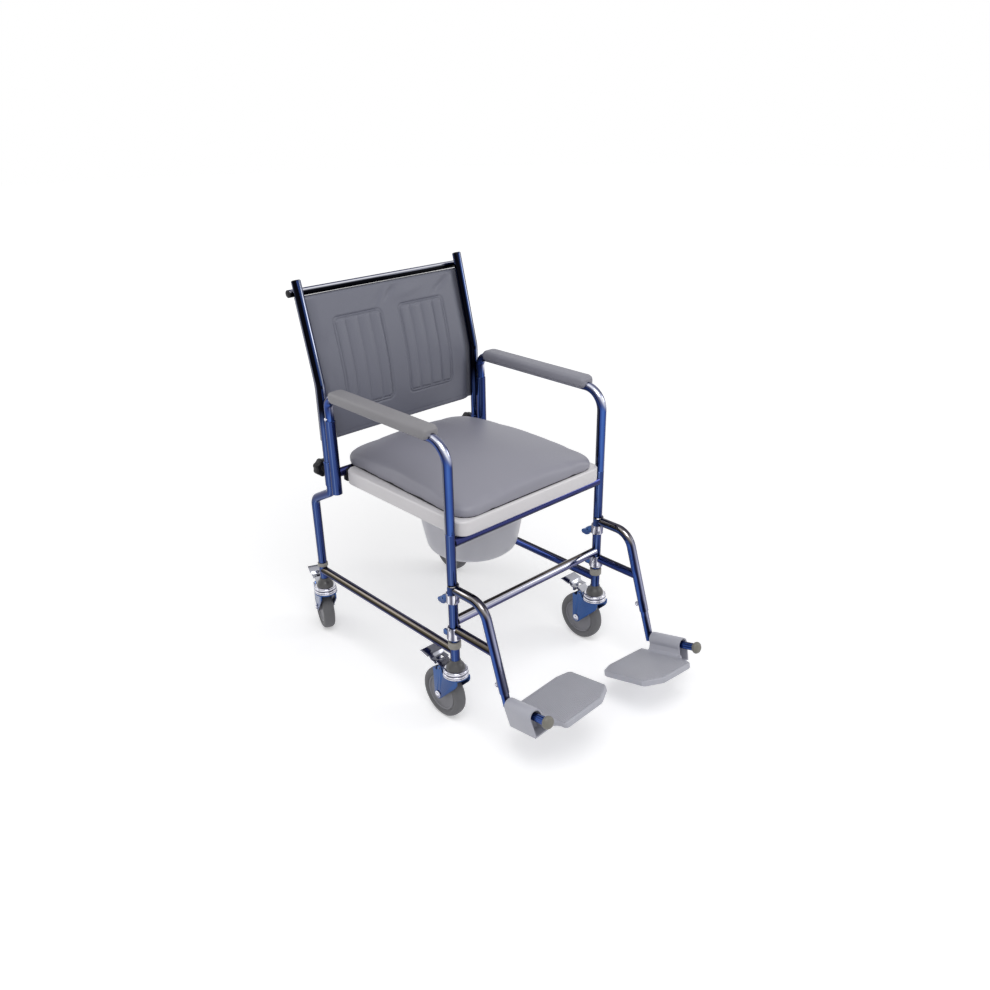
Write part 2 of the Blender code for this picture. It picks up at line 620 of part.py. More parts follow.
def arm_pad(side, x):
    """Moulded armrest with the groove that clips over the tube."""
    low = ARM_Z - PAD_DROP
    middle = low + PAD_HEIGHT / 2
    front = FRONT_Y + PAD_FRONT
    rear = RECEIVER_Y - PAD_REAR
    bm = bmesh.new()
    rings = []
    stations = [(front, 0.55), (front + 0.25 * PAD_END, 0.80), (front + PAD_END, 1.0),
                (rear - PAD_END, 1.0), (rear - 0.25 * PAD_END, 0.86), (rear, 0.66)]
    for y, share in stations:
        ring = []
        for index in range(PAD_ROUND):
            angle = 2 * pi * (index + 0.5) / PAD_ROUND
            wide = copysign(abs(cos(angle)) ** PAD_SQUARENESS, cos(angle))
            high = copysign(abs(sin(angle)) ** PAD_SQUARENESS, sin(angle))
            half_height = PAD_HEIGHT / 2 * (share + (1 - share) * 0.45)
            ring.append(bm.verts.new((x + PAD_HALF_WIDTH * share * wide, y, middle + half_height * high)))
        rings.append(ring)
    for first, second in zip(rings, rings[1:]):
        for index in range(PAD_ROUND):
            after = (index + 1) % PAD_ROUND
            bm.faces.new((first[index], second[index], second[after], first[after]))
    bm.faces.new(rings[0])
    bm.faces.new(reversed(rings[-1]))
    groove = bar(arm_path(x, ARM_JOINT_Z), TUBE_R + GAP)
    return cut(finished(bm), groove)


def build_arms():
    for side, sign in SIDES.items():
        x = sign * HALF_WIDTH
        tube = bar(arm_path(x, ARM_JOINT_Z + GAP), TUBE_R)
        spigot = rod((x, FRONT_Y, ARM_JOINT_Z - SPIGOT_LENGTH), (x, FRONT_Y, ARM_JOINT_Z + TUBE_R), SPIGOT_R)
        button_z = RECEIVER_TOP_Z + BUTTON_R + GAP
        face = x + sign * (TUBE_R + BUTTON_PROUD)
        hole = rod((x, RECEIVER_Y, button_z), (x + sign * 2 * TUBE_R, RECEIVER_Y, button_z), BUTTON_R + GAP)
        add_piece(f"arm_tube_{side}", cut(joined(tube, spigot), hole), CHROME)
        add_piece(f"arm_pad_{side}", arm_pad(side, x), ARM_FOAM, smooth_under=50)
        root = x + sign * (TUBE_R - BUTTON_GRIP)
        button = rod((root, RECEIVER_Y, button_z), (face, RECEIVER_Y, button_z), BUTTON_R)
        add_piece(f"snap_button_{side}", button, ZINC)


# Leg rests

def raked(z):
    """Point on the hanger's raked axis at a height, in the plane of the legs."""
    knee_y = FRONT_Y - HANGER_KNEE
    return Vector((0, knee_y - (HANGER_TOP_Z - z) * tan(radians(HANGER_RAKE)), z))


def latch_lug(low_x):
    """Cheek behind the upper collar that holds one end of the release lever's pin."""
    outline = [(FRONT_Y + TUBE_R + 0.001, UPPER_COLLAR[0]), (FRONT_Y + LATCH_Y, LATCH_Z - 0.012)]
    outline += arc((FRONT_Y + LATCH_Y, LATCH_Z), LUG_R, -60, 90, 4)
    outline += [(FRONT_Y + TUBE_R + 0.001, UPPER_COLLAR[1] - 0.006)]
    return prism(outline, low_x, low_x + LUG_SHEET, "X")


def hanger_mesh():
    """Bent tube with its brace, and the two collars that turn on the front leg."""
    knee = (0, FRONT_Y - HANGER_KNEE, HANGER_TOP_Z)
    tube = bar(bent_path([(0, FRONT_Y, HANGER_TOP_Z), knee, raked(HANGER_END_Z)], [HANGER_BEND]), TUBE_R)
    brace = rod((0, FRONT_Y, BRACE_Z), raked(BRACE_Z), TUBE_R - GAP)
    saddle = cut(rod((0, FRONT_Y, UPPER_COLLAR[0]), (0, FRONT_Y, HANGER_TOP_Z + TUBE_R), COLLAR_R),
                 block((-2 * TUBE_R, FRONT_Y - 0.003, UPPER_COLLAR[1]),
                       (2 * TUBE_R, FRONT_Y + 2 * TUBE_R, HANGER_TOP_Z + 2 * TUBE_R)))
    lower = rod((0, FRONT_Y, LOWER_COLLAR[0]), (0, FRONT_Y, LOWER_COLLAR[1]), COLLAR_R)
    low_lug = block((-0.004, FRONT_Y + TUBE_R + 0.002, LOWER_COLLAR[0] - 0.003),
                    (0.004, FRONT_Y + LATCH_Y + 0.008, LOWER_COLLAR[0] + 0.010))
    body = joined(tube, saddle, brace, lower, low_lug)
    for low_x in (-LEVER_HALF - LUG_SHEET - GAP, LEVER_HALF + GAP):
        body = joined(body, latch_lug(low_x))
    swing_r = (TUBE_R + GAP / 2) / cos(pi / ROUND)
    leg_space = rod((0, FRONT_Y, LOWER_COLLAR[0] - TUBE_R), (0, FRONT_Y, HANGER_TOP_Z + 4 * TUBE_R), swing_r)
    end = raked(HANGER_END_Z)
    up = (raked(HANGER_TOP_Z) - end).normalized()
    bore = rod(end - up * TUBE_R, end + up * INNER_BORE_DEPTH, INNER_R + GAP)
    latch_y = FRONT_Y + LATCH_Y
    pin_hole = rod((-COLLAR_R, latch_y, LATCH_Z), (COLLAR_R, latch_y, LATCH_Z), LEVER_PIN_R + GAP, 10)
    bolt_at = raked(HANGER_END_Z + BOLT_RISE)
    bolt_hole = rod(bolt_at, bolt_at + Vector((0, 2 * TUBE_R, 0)), BOLT_R + GAP, 10)
    return cut(body, leg_space, bore, pin_hole, bolt_hole)


def lever_mesh():
    """Release lever with its pin, its beak pointing rearwards."""
    y = FRONT_Y + LATCH_Y
    outline = [(y - 0.008, LATCH_Z + 0.003), (y - 0.008, LATCH_Z - 0.003), (y - 0.001, LATCH_Z - 0.015),
               (y + 0.007, LATCH_Z - 0.0178)]
    outline += arc((y + LEVER_REACH - 0.006, LATCH_Z - 0.011), 0.006, -100, 90, 4)
    outline += [(y + 0.010, LATCH_Z - 0.004), (y + 0.005, LATCH_Z + 0.005)]
    pin_half = LEVER_HALF + GAP + LUG_SHEET
    pin = rod((-pin_half, y, LATCH_Z), (pin_half, y, LATCH_Z), LEVER_PIN_R, 10)
    return joined(prism(outline, -LEVER_HALF, LEVER_HALF, "X"), pin)


def clamp_bolt_mesh():
    """Bolt through the hanger's rear wall, which clamps the extension."""
    reach = INNER_R / cos(radians(HANGER_RAKE)) + BOLT_R * tan(radians(HANGER_RAKE)) + GAP
    start = raked(HANGER_END_Z + BOLT_RISE) + Vector((0, reach, 0))
    shank = rod(start, start + Vector((0, 0.008, 0)), BOLT_R, 10)
    head = rod(start + Vector((0, 0.0045, 0)), start + Vector((0, 0.0115, 0)), 2 * BOLT_R, 8)
    return joined(shank, head)


def footrest_frame(side, sign):
    """Place and turn of the footplate's bar: X inboard, Y rearwards along the bar, Z up."""
    pivot = raked(FOOTREST_DROP[side]) + Vector((sign * HALF_WIDTH, 0, 0))
    up = Vector((0, sin(radians(HANGER_RAKE)), cos(radians(HANGER_RAKE))))
    spin = Matrix.Rotation(sign * radians(FOOTREST_TURN[side]), 4, up)
    return Matrix.Translation(pivot) @ spin @ Matrix.Rotation(-radians(BAR_PITCH), 4, "X")


def extension_mesh(side, sign):
    """Inner tube of the leg rest with the bar that the footplate turns on."""
    across = Vector((sign * HALF_WIDTH, 0, 0))
    foot = raked(FOOTREST_DROP[side] - BAR_R + 0.002) + across
    end = raked(HANGER_END_Z) + across
    up = (end - foot).normalized()
    tube = rod(foot, end + up * INNER_GRIP[side], INNER_R)
    pivot = rod((0, 0, 0), (0, -BAR_LENGTH, 0), BAR_R)
    return joined(tube, moved(pivot, footrest_frame(side, sign)))


def footplate_mesh():
    """Plate with its barrel over the bar and its outer skirt; inboard is +X before mirroring."""
    floor = -PLATE_DROP - PLATE_THICKNESS
    rear = -PLATE_REAR
    front = -PLATE_FRONT
    inner = PLATE_INNER
    rear_cut, rear_run = PLATE_REAR_CORNER
    front_cut, front_run = PLATE_FRONT_CORNER
    blunt = 0.006
    outline = [(PLATE_OUTER, rear), (inner - rear_cut, rear), (inner - blunt, rear - rear_run + 0.004),
               (inner, rear - rear_run - 0.004), (inner, front + front_run + blunt),
               (inner - 0.004, front + front_run - 0.002), (inner - front_cut, front),
               (PLATE_OUTER + 0.024, front), (PLATE_OUTER + 0.016, front + 0.0025)]
    outline += arc((0, front + 0.0135), NOTCH_R, -8, 60, 5)
    outline += [(-BARREL_R, -BARREL_END), (-BARREL_R, -BARREL_START), (PLATE_OUTER, -BARREL_START)]
    plate = softened(prism(outline, floor, -PLATE_DROP), 0.003, 1)
    low = floor + 0.002 - SKIRT_DROP
    profile = [(-BARREL_R, low)] + arc((0, 0), BARREL_R, 180, -25, 12)
    profile += [(PLATE_OUTER - 0.001, -PLATE_DROP + 0.004), (PLATE_OUTER + 0.008, -PLATE_DROP - 0.002),
                (PLATE_OUTER + 0.008, floor + 0.002), (PLATE_OUTER, floor + 0.002), (PLATE_OUTER - 0.002, low)]
    barrel = prism(profile, -BARREL_END, -BARREL_START, "Y")
    body = joined(plate, barrel)
    bore = rod((0, 0, 0), (0, -2 * BARREL_END, 0), BAR_R + GAP)
    mouth_r = BARREL_R - 0.0035
    mouth_y = 0.030 - BARREL_END
    mouth = rod((0, mouth_y, 0), (0, -2 * BARREL_END, 0), mouth_r, 16)
    below = block((-mouth_r, -BARREL_END - 2 * TUBE_R, low + 0.003), (mouth_r, mouth_y, 0))
    return cut(body, bore, mouth, below)


def bar_cap_mesh():
    """Domed cap against the front end of the bar."""
    rim = BAR_CAP_R
    length = BAR_CAP_LENGTH
    cap = turned([(0, 0), (rim - 0.004, 0), (rim - 0.004, 0.003), (rim - 0.001, 0.0035), (rim, 0.005), (rim, 0.008),
                  (rim - 0.0025, length - 0.0035), (rim - 0.007, length - 0.0008), (0, length)], 20)
    return moved(cap, Matrix.Translation((0, -BAR_LENGTH - GAP, 0)) @ Matrix.Rotation(pi / 2, 4, "X"))


def build_leg_rests():
    mirror = Matrix.Scale(-1, 4, (1, 0, 0))
    hanger = hanger_mesh()
    lever = lever_mesh()
    bolt = clamp_bolt_mesh()
    for side, sign in SIDES.items():
        across = Matrix.Translation((sign * HALF_WIDTH, 0, 0))
        add_piece(f"hanger_{side}", moved(hanger.copy(), across), CHROME)
        add_piece(f"release_lever_{side}", moved(lever.copy(), across), ZINC)
        add_piece(f"clamp_bolt_{side}", moved(bolt.copy(), across), ZINC)
        add_piece(f"extension_{side}", extension_mesh(side, sign), CHROME)
        at = footrest_frame(side, sign)
        pivot = add_joint_frame(f"footplate_pivot_{side}", at.to_translation(), turn=at.to_euler())
        plate = footplate_mesh()
        if sign > 0:
            plate.transform(mirror)
            plate.flip_normals()
        plate.transform(Matrix.Rotation(sign * radians(PLATE_TILT[side]), 4, "Y"))
        add_piece(f"footplate_{side}", plate, PLATE_PLASTIC, pivot)
        add_piece(f"bar_cap_{side}", bar_cap_mesh(), PLATE_PLASTIC, pivot)


# Seat

def rounded_outline(half_front, half_rear, front, rear, corner, steps=4):
    """Closed (x, y) outline with round corners, wider in front than behind."""
    points = arc((-half_front + corner, front + corner), corner, 180, 270, steps)
    points += arc((half_front - corner, front + corner), corner, 270, 360, steps)
    points += arc((half_rear - corner, rear - corner), corner, 0, 90, steps)
    points += arc((-half_rear + corner, rear - corner), corner, 90, 180, steps)
    return points


def seat_mesh():
    """Moulded seat: a shell with an oval opening, and the runners for the pan under it."""
    front = FRONT_Y + SEAT_FRONT
    rear = FRONT_Y + SEAT_REAR
    pan_y = FRONT_Y + PAN_SETBACK
    half = SEAT_HALF_WIDTH
    footprint = rounded_outline(half, half, front, rear, SEAT_CORNER)
    outer = softened(prism(footprint, SEAT_LOW_Z, SEAT_TOP_Z), 0.003, 1)
    w = SEAT_WALL
    inside = rounded_outline(half - w, half - w, front + w, rear - w, SEAT_CORNER - w)
    hollow = prism(inside, SEAT_LOW_Z - 0.01, SEAT_TOP_Z - w)
    oval = [(APERTURE_HALF_WIDTH * cos(a), pan_y + APERTURE_HALF_LENGTH * sin(a))
            for a in [2 * pi * index / 32 for index in range(32)]]
    shell = cut(outer, hollow, prism(oval, SEAT_LOW_Z, SEAT_TOP_Z + 0.01))
    web_x = PAN_RIM_R + PAN_SIDE_GAP
    lip_x = web_x - RUNNER_LIP
    lip_low = RUNNER_Z - RUNNER_SHEET
    web_top = SEAT_TOP_Z - w / 2
    outline = [(web_x, web_top), (web_x, RUNNER_Z), (lip_x, RUNNER_Z), (lip_x, lip_low),
               (web_x + RUNNER_SHEET, lip_low), (web_x + RUNNER_SHEET, web_top)]
    ends = [FRONT_Y + end for end in RUNNER_ENDS]
    for sign in SIDES.values():
        shell = joined(shell, prism([(sign * a, b) for a, b in outline], *ends, "Y"))
    return shell


def pan_mesh():
    """Round pan with a flat rim that hangs in the runners."""
    rim_low = RUNNER_Z + GAP
    rim_top = rim_low + PAN_RIM_SHEET
    low = rim_low - PAN_DEPTH
    w = PAN_WALL
    bulge_r = (PAN_MOUTH_R + PAN_HEEL_R) / 2 + 0.004
    middle_z = (rim_low + low) / 2
    heel_z = low + 0.019
    knuckle = ((PAN_HEEL_R + PAN_FLOOR_R) / 2 + 0.003, low + 0.0045)
    outer = [(PAN_MOUTH_R, rim_low), (bulge_r, middle_z), (PAN_HEEL_R, heel_z), knuckle,
             (PAN_FLOOR_R, low), (0, low)]
    inner = [(0, low + w), (PAN_FLOOR_R - w / 3, low + w), (knuckle[0] - w / 2, knuckle[1] + w),
             (PAN_HEEL_R - w, heel_z + w / 3), (bulge_r - w, middle_z), (PAN_MOUTH_R - w, rim_top)]
    profile = [(PAN_RIM_R, rim_low), *outer, *inner, (PAN_RIM_R, rim_top)]
    return moved(turned(profile, 28), Matrix.Translation((0, FRONT_Y + PAN_SETBACK, 0)))


def cushion_mesh():
    """Crowned cushion whose sides pull in under a rounded shoulder."""
    front = FRONT_Y + CUSHION_FRONT
    rear = FRONT_Y + CUSHION_REAR
    middle_y = (front + rear) / 2
    levels = [(-0.012, 0.0), (-0.002, 0.10), (0.000, 0.45), (-0.003, 0.78), (-0.011, 0.96), (-0.022, 1.02)]
    bm = bmesh.new()
    rings = []
    for inset, share in levels:
        outline = rounded_outline(CUSHION_FRONT_HALF + inset, CUSHION_REAR_HALF + inset,
                                  front - inset, rear + inset, CUSHION_CORNER + inset / 2, 6)
        z = CUSHION_LOW_Z + CUSHION_SIDE * share
        rings.append([bm.verts.new((a, b, z)) for a, b in outline])
    last = [vert.co.copy() for vert in rings[-1]]
    for shrink in (0.80, 0.55, 0.28):
        rise = CUSHION_CROWN * (1 - shrink ** 2)
        rings.append([bm.verts.new((co.x * shrink, middle_y + (co.y - middle_y) * shrink, co.z + rise))
                      for co in last])
    for low, high in zip(rings, rings[1:]):
        for index in range(len(low)):
            after = (index + 1) % len(low)
            bm.faces.new((low[index], low[after], high[after], high[index]))
    top = bm.verts.new((0, middle_y, last[0].z + CUSHION_CROWN))
    for index in range(len(rings[-1])):
        bm.faces.new((rings[-1][index], rings[-1][(index + 1) % len(rings[-1])], top))
    bm.faces.new(reversed(rings[0]))
    return finished(bm)


def build_seat():
    add_piece("commode_seat", seat_mesh(), SEAT_PLASTIC)
    add_piece("pan", pan_mesh(), PAN_PLASTIC)
    add_piece("seat_cushion", cushion_mesh(), VINYL, smooth_under=60)


# Back

def upright_axis(z):
    """Y of the uprights' axis at a height, without the rounding of the bend."""
    return BACK_Y + max(0.0, z - BEND_Z) * tan(radians(BACK_RAKE))


def back_frame_mesh():
    """Two raked uprights welded to the push bar behind them."""
    made = None
    for sign in SIDES.values():
        x = sign * HALF_WIDTH
        corners = [(x, BACK_Y, SOCKET_TOP_Z - UPRIGHT_PLUG), (x, BACK_Y, BEND_Z),
                   (x, upright_axis(BACK_TOP_Z), BACK_TOP_Z)]
        upright = softened(bar(bent_path(corners, [BACK_BEND]), TUBE_R), 0.002, 1, 60)
        made = upright if made is None else joined(made, upright)
    y = upright_axis(PUSH_BAR_Z) + (TUBE_R + PUSH_BAR_R - 2 * GAP) / cos(radians(BACK_RAKE))
    push_bar = rod((-PUSH_BAR_HALF, y, PUSH_BAR_Z), (PUSH_BAR_HALF, y, PUSH_BAR_Z), PUSH_BAR_R)
    return joined(made, push_bar)


def back_pad_mesh():
    """Padded back behind the uprights, bulging forwards between them, with two embossed panels."""
    panel_start, panel_end = CHANNEL_X
    pitch = (panel_end - panel_start) / CHANNELS
    groove_x = [panel_start + pitch * index for index in range(CHANNELS + 1)]
    inside = HALF_WIDTH - TUBE_R
    columns = [0.0, inside - 0.022, inside - 0.008, inside - 0.0025, inside + 0.0005,
               BACK_PAD_HALF - 0.004, BACK_PAD_HALF]
    columns += [x + shift for x in groove_x for shift in (-CHANNEL_HALF, 0, CHANNEL_HALF)]
    columns = sorted({sign * x for x in columns for sign in (-1, 1)})
    rows = [BACK_PAD_LOW_Z + rise for rise in (0, HEM_HEIGHT - 0.006, HEM_HEIGHT, HEM_HEIGHT + 0.006)]
    rows += [BEND_Z - 0.107, BEND_Z - 0.02, BEND_Z, BEND_Z + 0.02, BEND_Z + 0.078]
    rows += [BACK_PAD_TOP_Z - 0.012, BACK_PAD_TOP_Z - 0.004, BACK_PAD_TOP_Z]
    rows += [z + shift for z in CHANNEL_Z for shift in (-CHANNEL_HALF, 0, CHANNEL_HALF)]
    rows = sorted(rows)
    tall = BACK_PAD_TOP_Z - BACK_PAD_LOW_Z

    def front_offset(x, z):
        """How far the front face lies behind the uprights' axes."""
        free = 1 - min(1.0, max(0.0, (abs(x) - (inside - 0.022)) / 0.0225)) ** 2
        crown = BACK_PAD_CROWN * free * (0.72 + 0.28 * sin(pi * (z - BACK_PAD_LOW_Z) / tall))
        low, high = CHANNEL_Z
        in_rows = low - 1e-6 <= z <= high + 1e-6
        in_columns = panel_start - 1e-6 <= abs(x) <= panel_end + 1e-6
        on_column = any(abs(abs(x) - line) < 1e-6 for line in groove_x)
        on_row = abs(z - low) < 1e-6 or abs(z - high) < 1e-6
        dent = CHANNEL_DEPTH if (in_rows and on_column) or (in_columns and on_row) else 0
        hem = 0.0015 if abs(z - BACK_PAD_LOW_Z - HEM_HEIGHT) < 1e-6 else 0
        edge = min(z - BACK_PAD_LOW_Z, BACK_PAD_TOP_Z - z)
        tuck = 0.004 * (1 - min(1.0, edge / 0.006))
        return TUBE_R + 3 * GAP - crown + dent + hem + tuck

    def back_offset(x, z):
        side = 0.004 * (1 - min(1.0, (BACK_PAD_HALF - abs(x)) / 0.004))
        edge = min(z - BACK_PAD_LOW_Z, BACK_PAD_TOP_Z - z)
        return TUBE_R + BACK_PAD_THICKNESS - side - 0.004 * (1 - min(1.0, edge / 0.006))

    bm = bmesh.new()

    def face_grid(offset):
        grid = []
        for z in rows:
            line = []
            for x in columns:
                slant = cos(radians(BACK_RAKE)) if z > BEND_Z else 1
                y = upright_axis(z) + offset(x, z) / slant
                line.append(bm.verts.new((x, y, z)))
            grid.append(line)
        return grid

    front = face_grid(front_offset)
    back = face_grid(back_offset)
    for grid in (front, back):
        for low, high in zip(grid, grid[1:]):
            for index in range(len(columns) - 1):
                bm.faces.new((low[index], low[index + 1], high[index + 1], high[index]))
    last = len(columns) - 1
    for line in (0, len(rows) - 1):
        for index in range(last):
            bm.faces.new((front[line][index], front[line][index + 1],
                          back[line][index + 1], back[line][index]))
    for index in (0, last):
        for line in range(len(rows) - 1):
            bm.faces.new((front[line][index], front[line + 1][index],
                          back[line + 1][index], back[line][index]))
    bmesh.ops.recalc_face_normals(bm, faces=bm.faces)
    plain = [edge for edge in bm.edges if edge.calc_face_angle() < radians(0.2)]
    bmesh.ops.dissolve_edges(bm, edges=plain, use_verts=True)
    return finished(bm)


def knob_mesh():
    """Star knob with its stud, about Z; the stud points down."""
    outline = []
    lobe = 0.0022
    steps = 4 * KNOB_LOBES
    for index in range(steps):
        angle = 2 * pi * index / steps
        radius = KNOB_R - lobe + lobe * cos(KNOB_LOBES * angle)
        outline.append((radius * cos(angle), radius * sin(angle)))
    head = softened(prism(outline, KNOB_STAND_OFF, KNOB_STAND_OFF + KNOB_THICKNESS), 0.003, 1)
    neck = rod((0, 0, GAP), (0, 0, KNOB_STAND_OFF + GAP), KNOB_NECK_R)
    stud = rod((0, 0, TUBE_R - SLEEVE_R + GAP), (0, 0, KNOB_STAND_OFF), KNOB_STUD_R)
    return joined(head, neck, stud)


def build_back():
    add_piece("back_frame", back_frame_mesh(), CHROME)
    add_piece("back_pad", back_pad_mesh(), VINYL, smooth_under=50)
    for side, sign in SIDES.items():
        place = (sign * HALF_WIDTH, BACK_Y + SLEEVE_R, REAR_TUBE_Z)
        axis = add_joint_frame(f"knob_axis_{side}", place, turn=(-pi / 2, 0, 0))
        add_piece(f"star_knob_{side}", knob_mesh(), BLACK_PLASTIC, axis)


build_frame()
build_castors()
build_arms()
build_leg_rests()
build_seat()
build_back()
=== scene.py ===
# %% [markdown]
# # A wheeled commode chair, dressed for its portrait
#
# The real chair is bright plated steel tube on four braked castors, with a padded vinyl seat and
# back, two lift-off arms, a moulded seat with a pan under it, and two swing-away leg rests.
# The engineering model already has every solid in its place. This script keeps those places and
# gives each piece its finished form and its surface: round tubes in place of faceted ones, real
# padding in place of blocks, and materials made of nodes.
# Everything is in metres, +Z is up, and the person in the chair faces -Y.

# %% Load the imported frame
import json
from math import cos, degrees, exp, hypot, pi, radians, sin, sqrt, tan

import bmesh
import bpy
from mathutils import Matrix, Vector

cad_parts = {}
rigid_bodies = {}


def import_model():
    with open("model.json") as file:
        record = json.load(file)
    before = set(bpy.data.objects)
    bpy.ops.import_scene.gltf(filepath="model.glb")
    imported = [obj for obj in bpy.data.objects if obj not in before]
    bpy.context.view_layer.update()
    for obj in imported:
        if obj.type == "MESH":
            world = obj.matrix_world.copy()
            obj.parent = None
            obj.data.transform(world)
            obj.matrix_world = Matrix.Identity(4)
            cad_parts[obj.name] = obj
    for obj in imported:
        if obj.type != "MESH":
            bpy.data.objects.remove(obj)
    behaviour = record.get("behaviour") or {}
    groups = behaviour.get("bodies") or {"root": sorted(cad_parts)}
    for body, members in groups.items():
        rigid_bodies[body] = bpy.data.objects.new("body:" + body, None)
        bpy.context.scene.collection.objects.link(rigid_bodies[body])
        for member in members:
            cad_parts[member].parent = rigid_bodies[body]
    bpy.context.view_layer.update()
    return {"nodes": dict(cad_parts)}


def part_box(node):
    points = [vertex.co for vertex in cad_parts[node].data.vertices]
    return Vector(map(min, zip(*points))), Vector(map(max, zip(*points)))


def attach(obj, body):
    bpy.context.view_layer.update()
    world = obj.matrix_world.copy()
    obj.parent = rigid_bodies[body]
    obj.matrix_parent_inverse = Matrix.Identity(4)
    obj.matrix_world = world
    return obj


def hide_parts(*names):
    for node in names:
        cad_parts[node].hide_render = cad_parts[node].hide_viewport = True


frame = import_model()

# %% [markdown]
# ## Small helpers
#
# Everything below adds objects to the scene and turns bmeshes into meshes, so both get a name.

# %% Objects and meshes
def new_object(name, data):
    """Object that holds the data and stands in the scene."""
    made = bpy.data.objects.new(name, data)
    bpy.context.scene.collection.objects.link(made)
    return made


def mesh_of(bm, name, *materials):
    """Mesh from a bmesh, which is used up."""
    mesh = bpy.data.meshes.new(name)
    bm.to_mesh(mesh)
    bm.free()
    for material in materials:
        mesh.materials.append(material)
    return mesh


def limited(value):
    """Value held between 0 and 1."""
    return min(1.0, max(0.0, value))


# %% [markdown]
# ## The camera
#
# A photograph's camera can be found by moving a virtual one until the model covers the picture.
# Here that search was done beforehand, on the castors, the tube ends and the seat's corners, and
# the result is written as a place, three angles and a lens. The sensor is shifted a little
# because the chair sits above the middle of the picture.

# %% Set up the camera
VIEW_AZIMUTH = radians(-42.814)
VIEW_DROP = radians(26.876)
VIEW_ROLL = radians(-0.962)
VIEW_PLACE = (-1.321, -1.4612, 1.348)
LENS_MM, SENSOR_MM, CLIP_END = 32.95, 36, 60
SENSOR_SHIFT = (-0.0013, 0.0391)

# The picture's axes before and after the roll.
ahead = Vector((-sin(VIEW_AZIMUTH) * cos(VIEW_DROP), cos(VIEW_AZIMUTH) * cos(VIEW_DROP),
                -sin(VIEW_DROP)))
level = Vector((cos(VIEW_AZIMUTH), sin(VIEW_AZIMUTH), 0))
upward = level.cross(ahead)
right = level * cos(VIEW_ROLL) + upward * sin(VIEW_ROLL)
above = upward * cos(VIEW_ROLL) - level * sin(VIEW_ROLL)

lens = bpy.data.cameras.new("portrait_camera")
lens.lens, lens.sensor_width, lens.clip_end = LENS_MM, SENSOR_MM, CLIP_END
lens.shift_x, lens.shift_y = SENSOR_SHIFT
camera = new_object("portrait_camera", lens)
camera.matrix_world = (Matrix.Translation(VIEW_PLACE) @
                       Matrix((right, above, -ahead)).transposed().to_4x4())
bpy.context.scene.camera = camera
bpy.context.scene.view_settings.view_transform = "Standard"
print("camera looks down", round(degrees(VIEW_DROP), 1), "degrees through", LENS_MM, "mm")

# %% [markdown]
# ## The studio
#
# The picture is a cut-out on white, so the floor and the world are pale to the camera. A light
# path node lets the world be fully white where it is seen or mirrored, and dimmer where it only
# lights the vinyl, so that nothing clips. Plated tube shows what stands round it, so a studio
# hangs dark cards out of the picture to give bright metal its black lines; the cards here are
# seen by mirrored rays alone.

# %% Helpers for node trees
def add_node(tree, kind, **settings):
    made = tree.nodes.new(kind)
    for name, value in settings.items():
        setattr(made, name, value)
    return made


def set_inputs(node, **values):
    """Plain values for inputs; an underscore stands for the space in a label."""
    for label, value in values.items():
        node.inputs[label.replace("_", " ")].default_value = value


def math_node(tree, operation, first, second=None, clamp=False):
    """Math node; each operand is a socket or a number."""
    made = add_node(tree, "ShaderNodeMath", operation=operation, use_clamp=clamp)
    for slot, operand in zip(made.inputs, (first, second)):
        if isinstance(operand, (int, float)):
            slot.default_value = operand
        elif operand is not None:
            tree.links.new(operand, slot)
    return made.outputs[0]


def between(tree, value, low, high, start=0.0, end=1.0):
    """Smooth step from start at low to end at high."""
    made = add_node(tree, "ShaderNodeMapRange", interpolation_type="SMOOTHSTEP", clamp=True)
    set_inputs(made, From_Min=low, From_Max=high, To_Min=start, To_Max=end)
    tree.links.new(value, made.inputs["Value"])
    return made.outputs["Result"]


def seen_or_mirrored(tree):
    """1 for rays from the camera, from a mirror or through glass, otherwise 0."""
    path = add_node(tree, "ShaderNodeLightPath")
    both = math_node(tree, "ADD", path.outputs["Is Camera Ray"], path.outputs["Is Glossy Ray"])
    return math_node(tree, "ADD", both, path.outputs["Is Transmission Ray"], clamp=True)


# %% World and floor
AMBIENT = 0.50
WHITE, PAPER = (1, 1, 1, 1), (0.90, 0.90, 0.91, 1)
# The floor glows less near the chair, which paints the floor round it darker: painted shade added
# to its real shadow.
GLOW_REACH, GLOW = (0.8, 3.6), (0.35, 0.60)
FLOOR_RADIUS, FLOOR_Z = 14, -0.0003

studio = bpy.data.worlds.new("pale_studio")
studio.use_nodes = True
bpy.context.scene.world = studio
tree = studio.node_tree
air = tree.nodes["Background"]
set_inputs(air, Color=WHITE)
lift = math_node(tree, "MULTIPLY", seen_or_mirrored(tree), 1 - AMBIENT)
tree.links.new(math_node(tree, "ADD", lift, AMBIENT), air.inputs["Strength"])

paper = bpy.data.materials.new("floor_paper")
paper.use_nodes = True
tree = paper.node_tree
tree.nodes.clear()
matt = add_node(tree, "ShaderNodeBsdfDiffuse")
set_inputs(matt, Color=PAPER)
glow = add_node(tree, "ShaderNodeEmission")
set_inputs(glow, Color=WHITE)
away = add_node(tree, "ShaderNodeVectorMath", operation="LENGTH")
tree.links.new(add_node(tree, "ShaderNodeTexCoord").outputs["Object"], away.inputs[0])
far_glow = between(tree, away.outputs["Value"], *GLOW_REACH, *GLOW)
tree.links.new(math_node(tree, "MULTIPLY", seen_or_mirrored(tree), far_glow),
               glow.inputs["Strength"])
both = add_node(tree, "ShaderNodeAddShader")
tree.links.new(matt.outputs[0], both.inputs[0])
tree.links.new(glow.outputs[0], both.inputs[1])
tree.links.new(both.outputs[0], add_node(tree, "ShaderNodeOutputMaterial").inputs["Surface"])

disc = bmesh.new()
bmesh.ops.create_circle(disc, cap_ends=True, segments=96, radius=FLOOR_RADIUS,
                        matrix=Matrix.Translation((0, 0, FLOOR_Z)))
floor = new_object("floor", mesh_of(disc, "floor", paper))

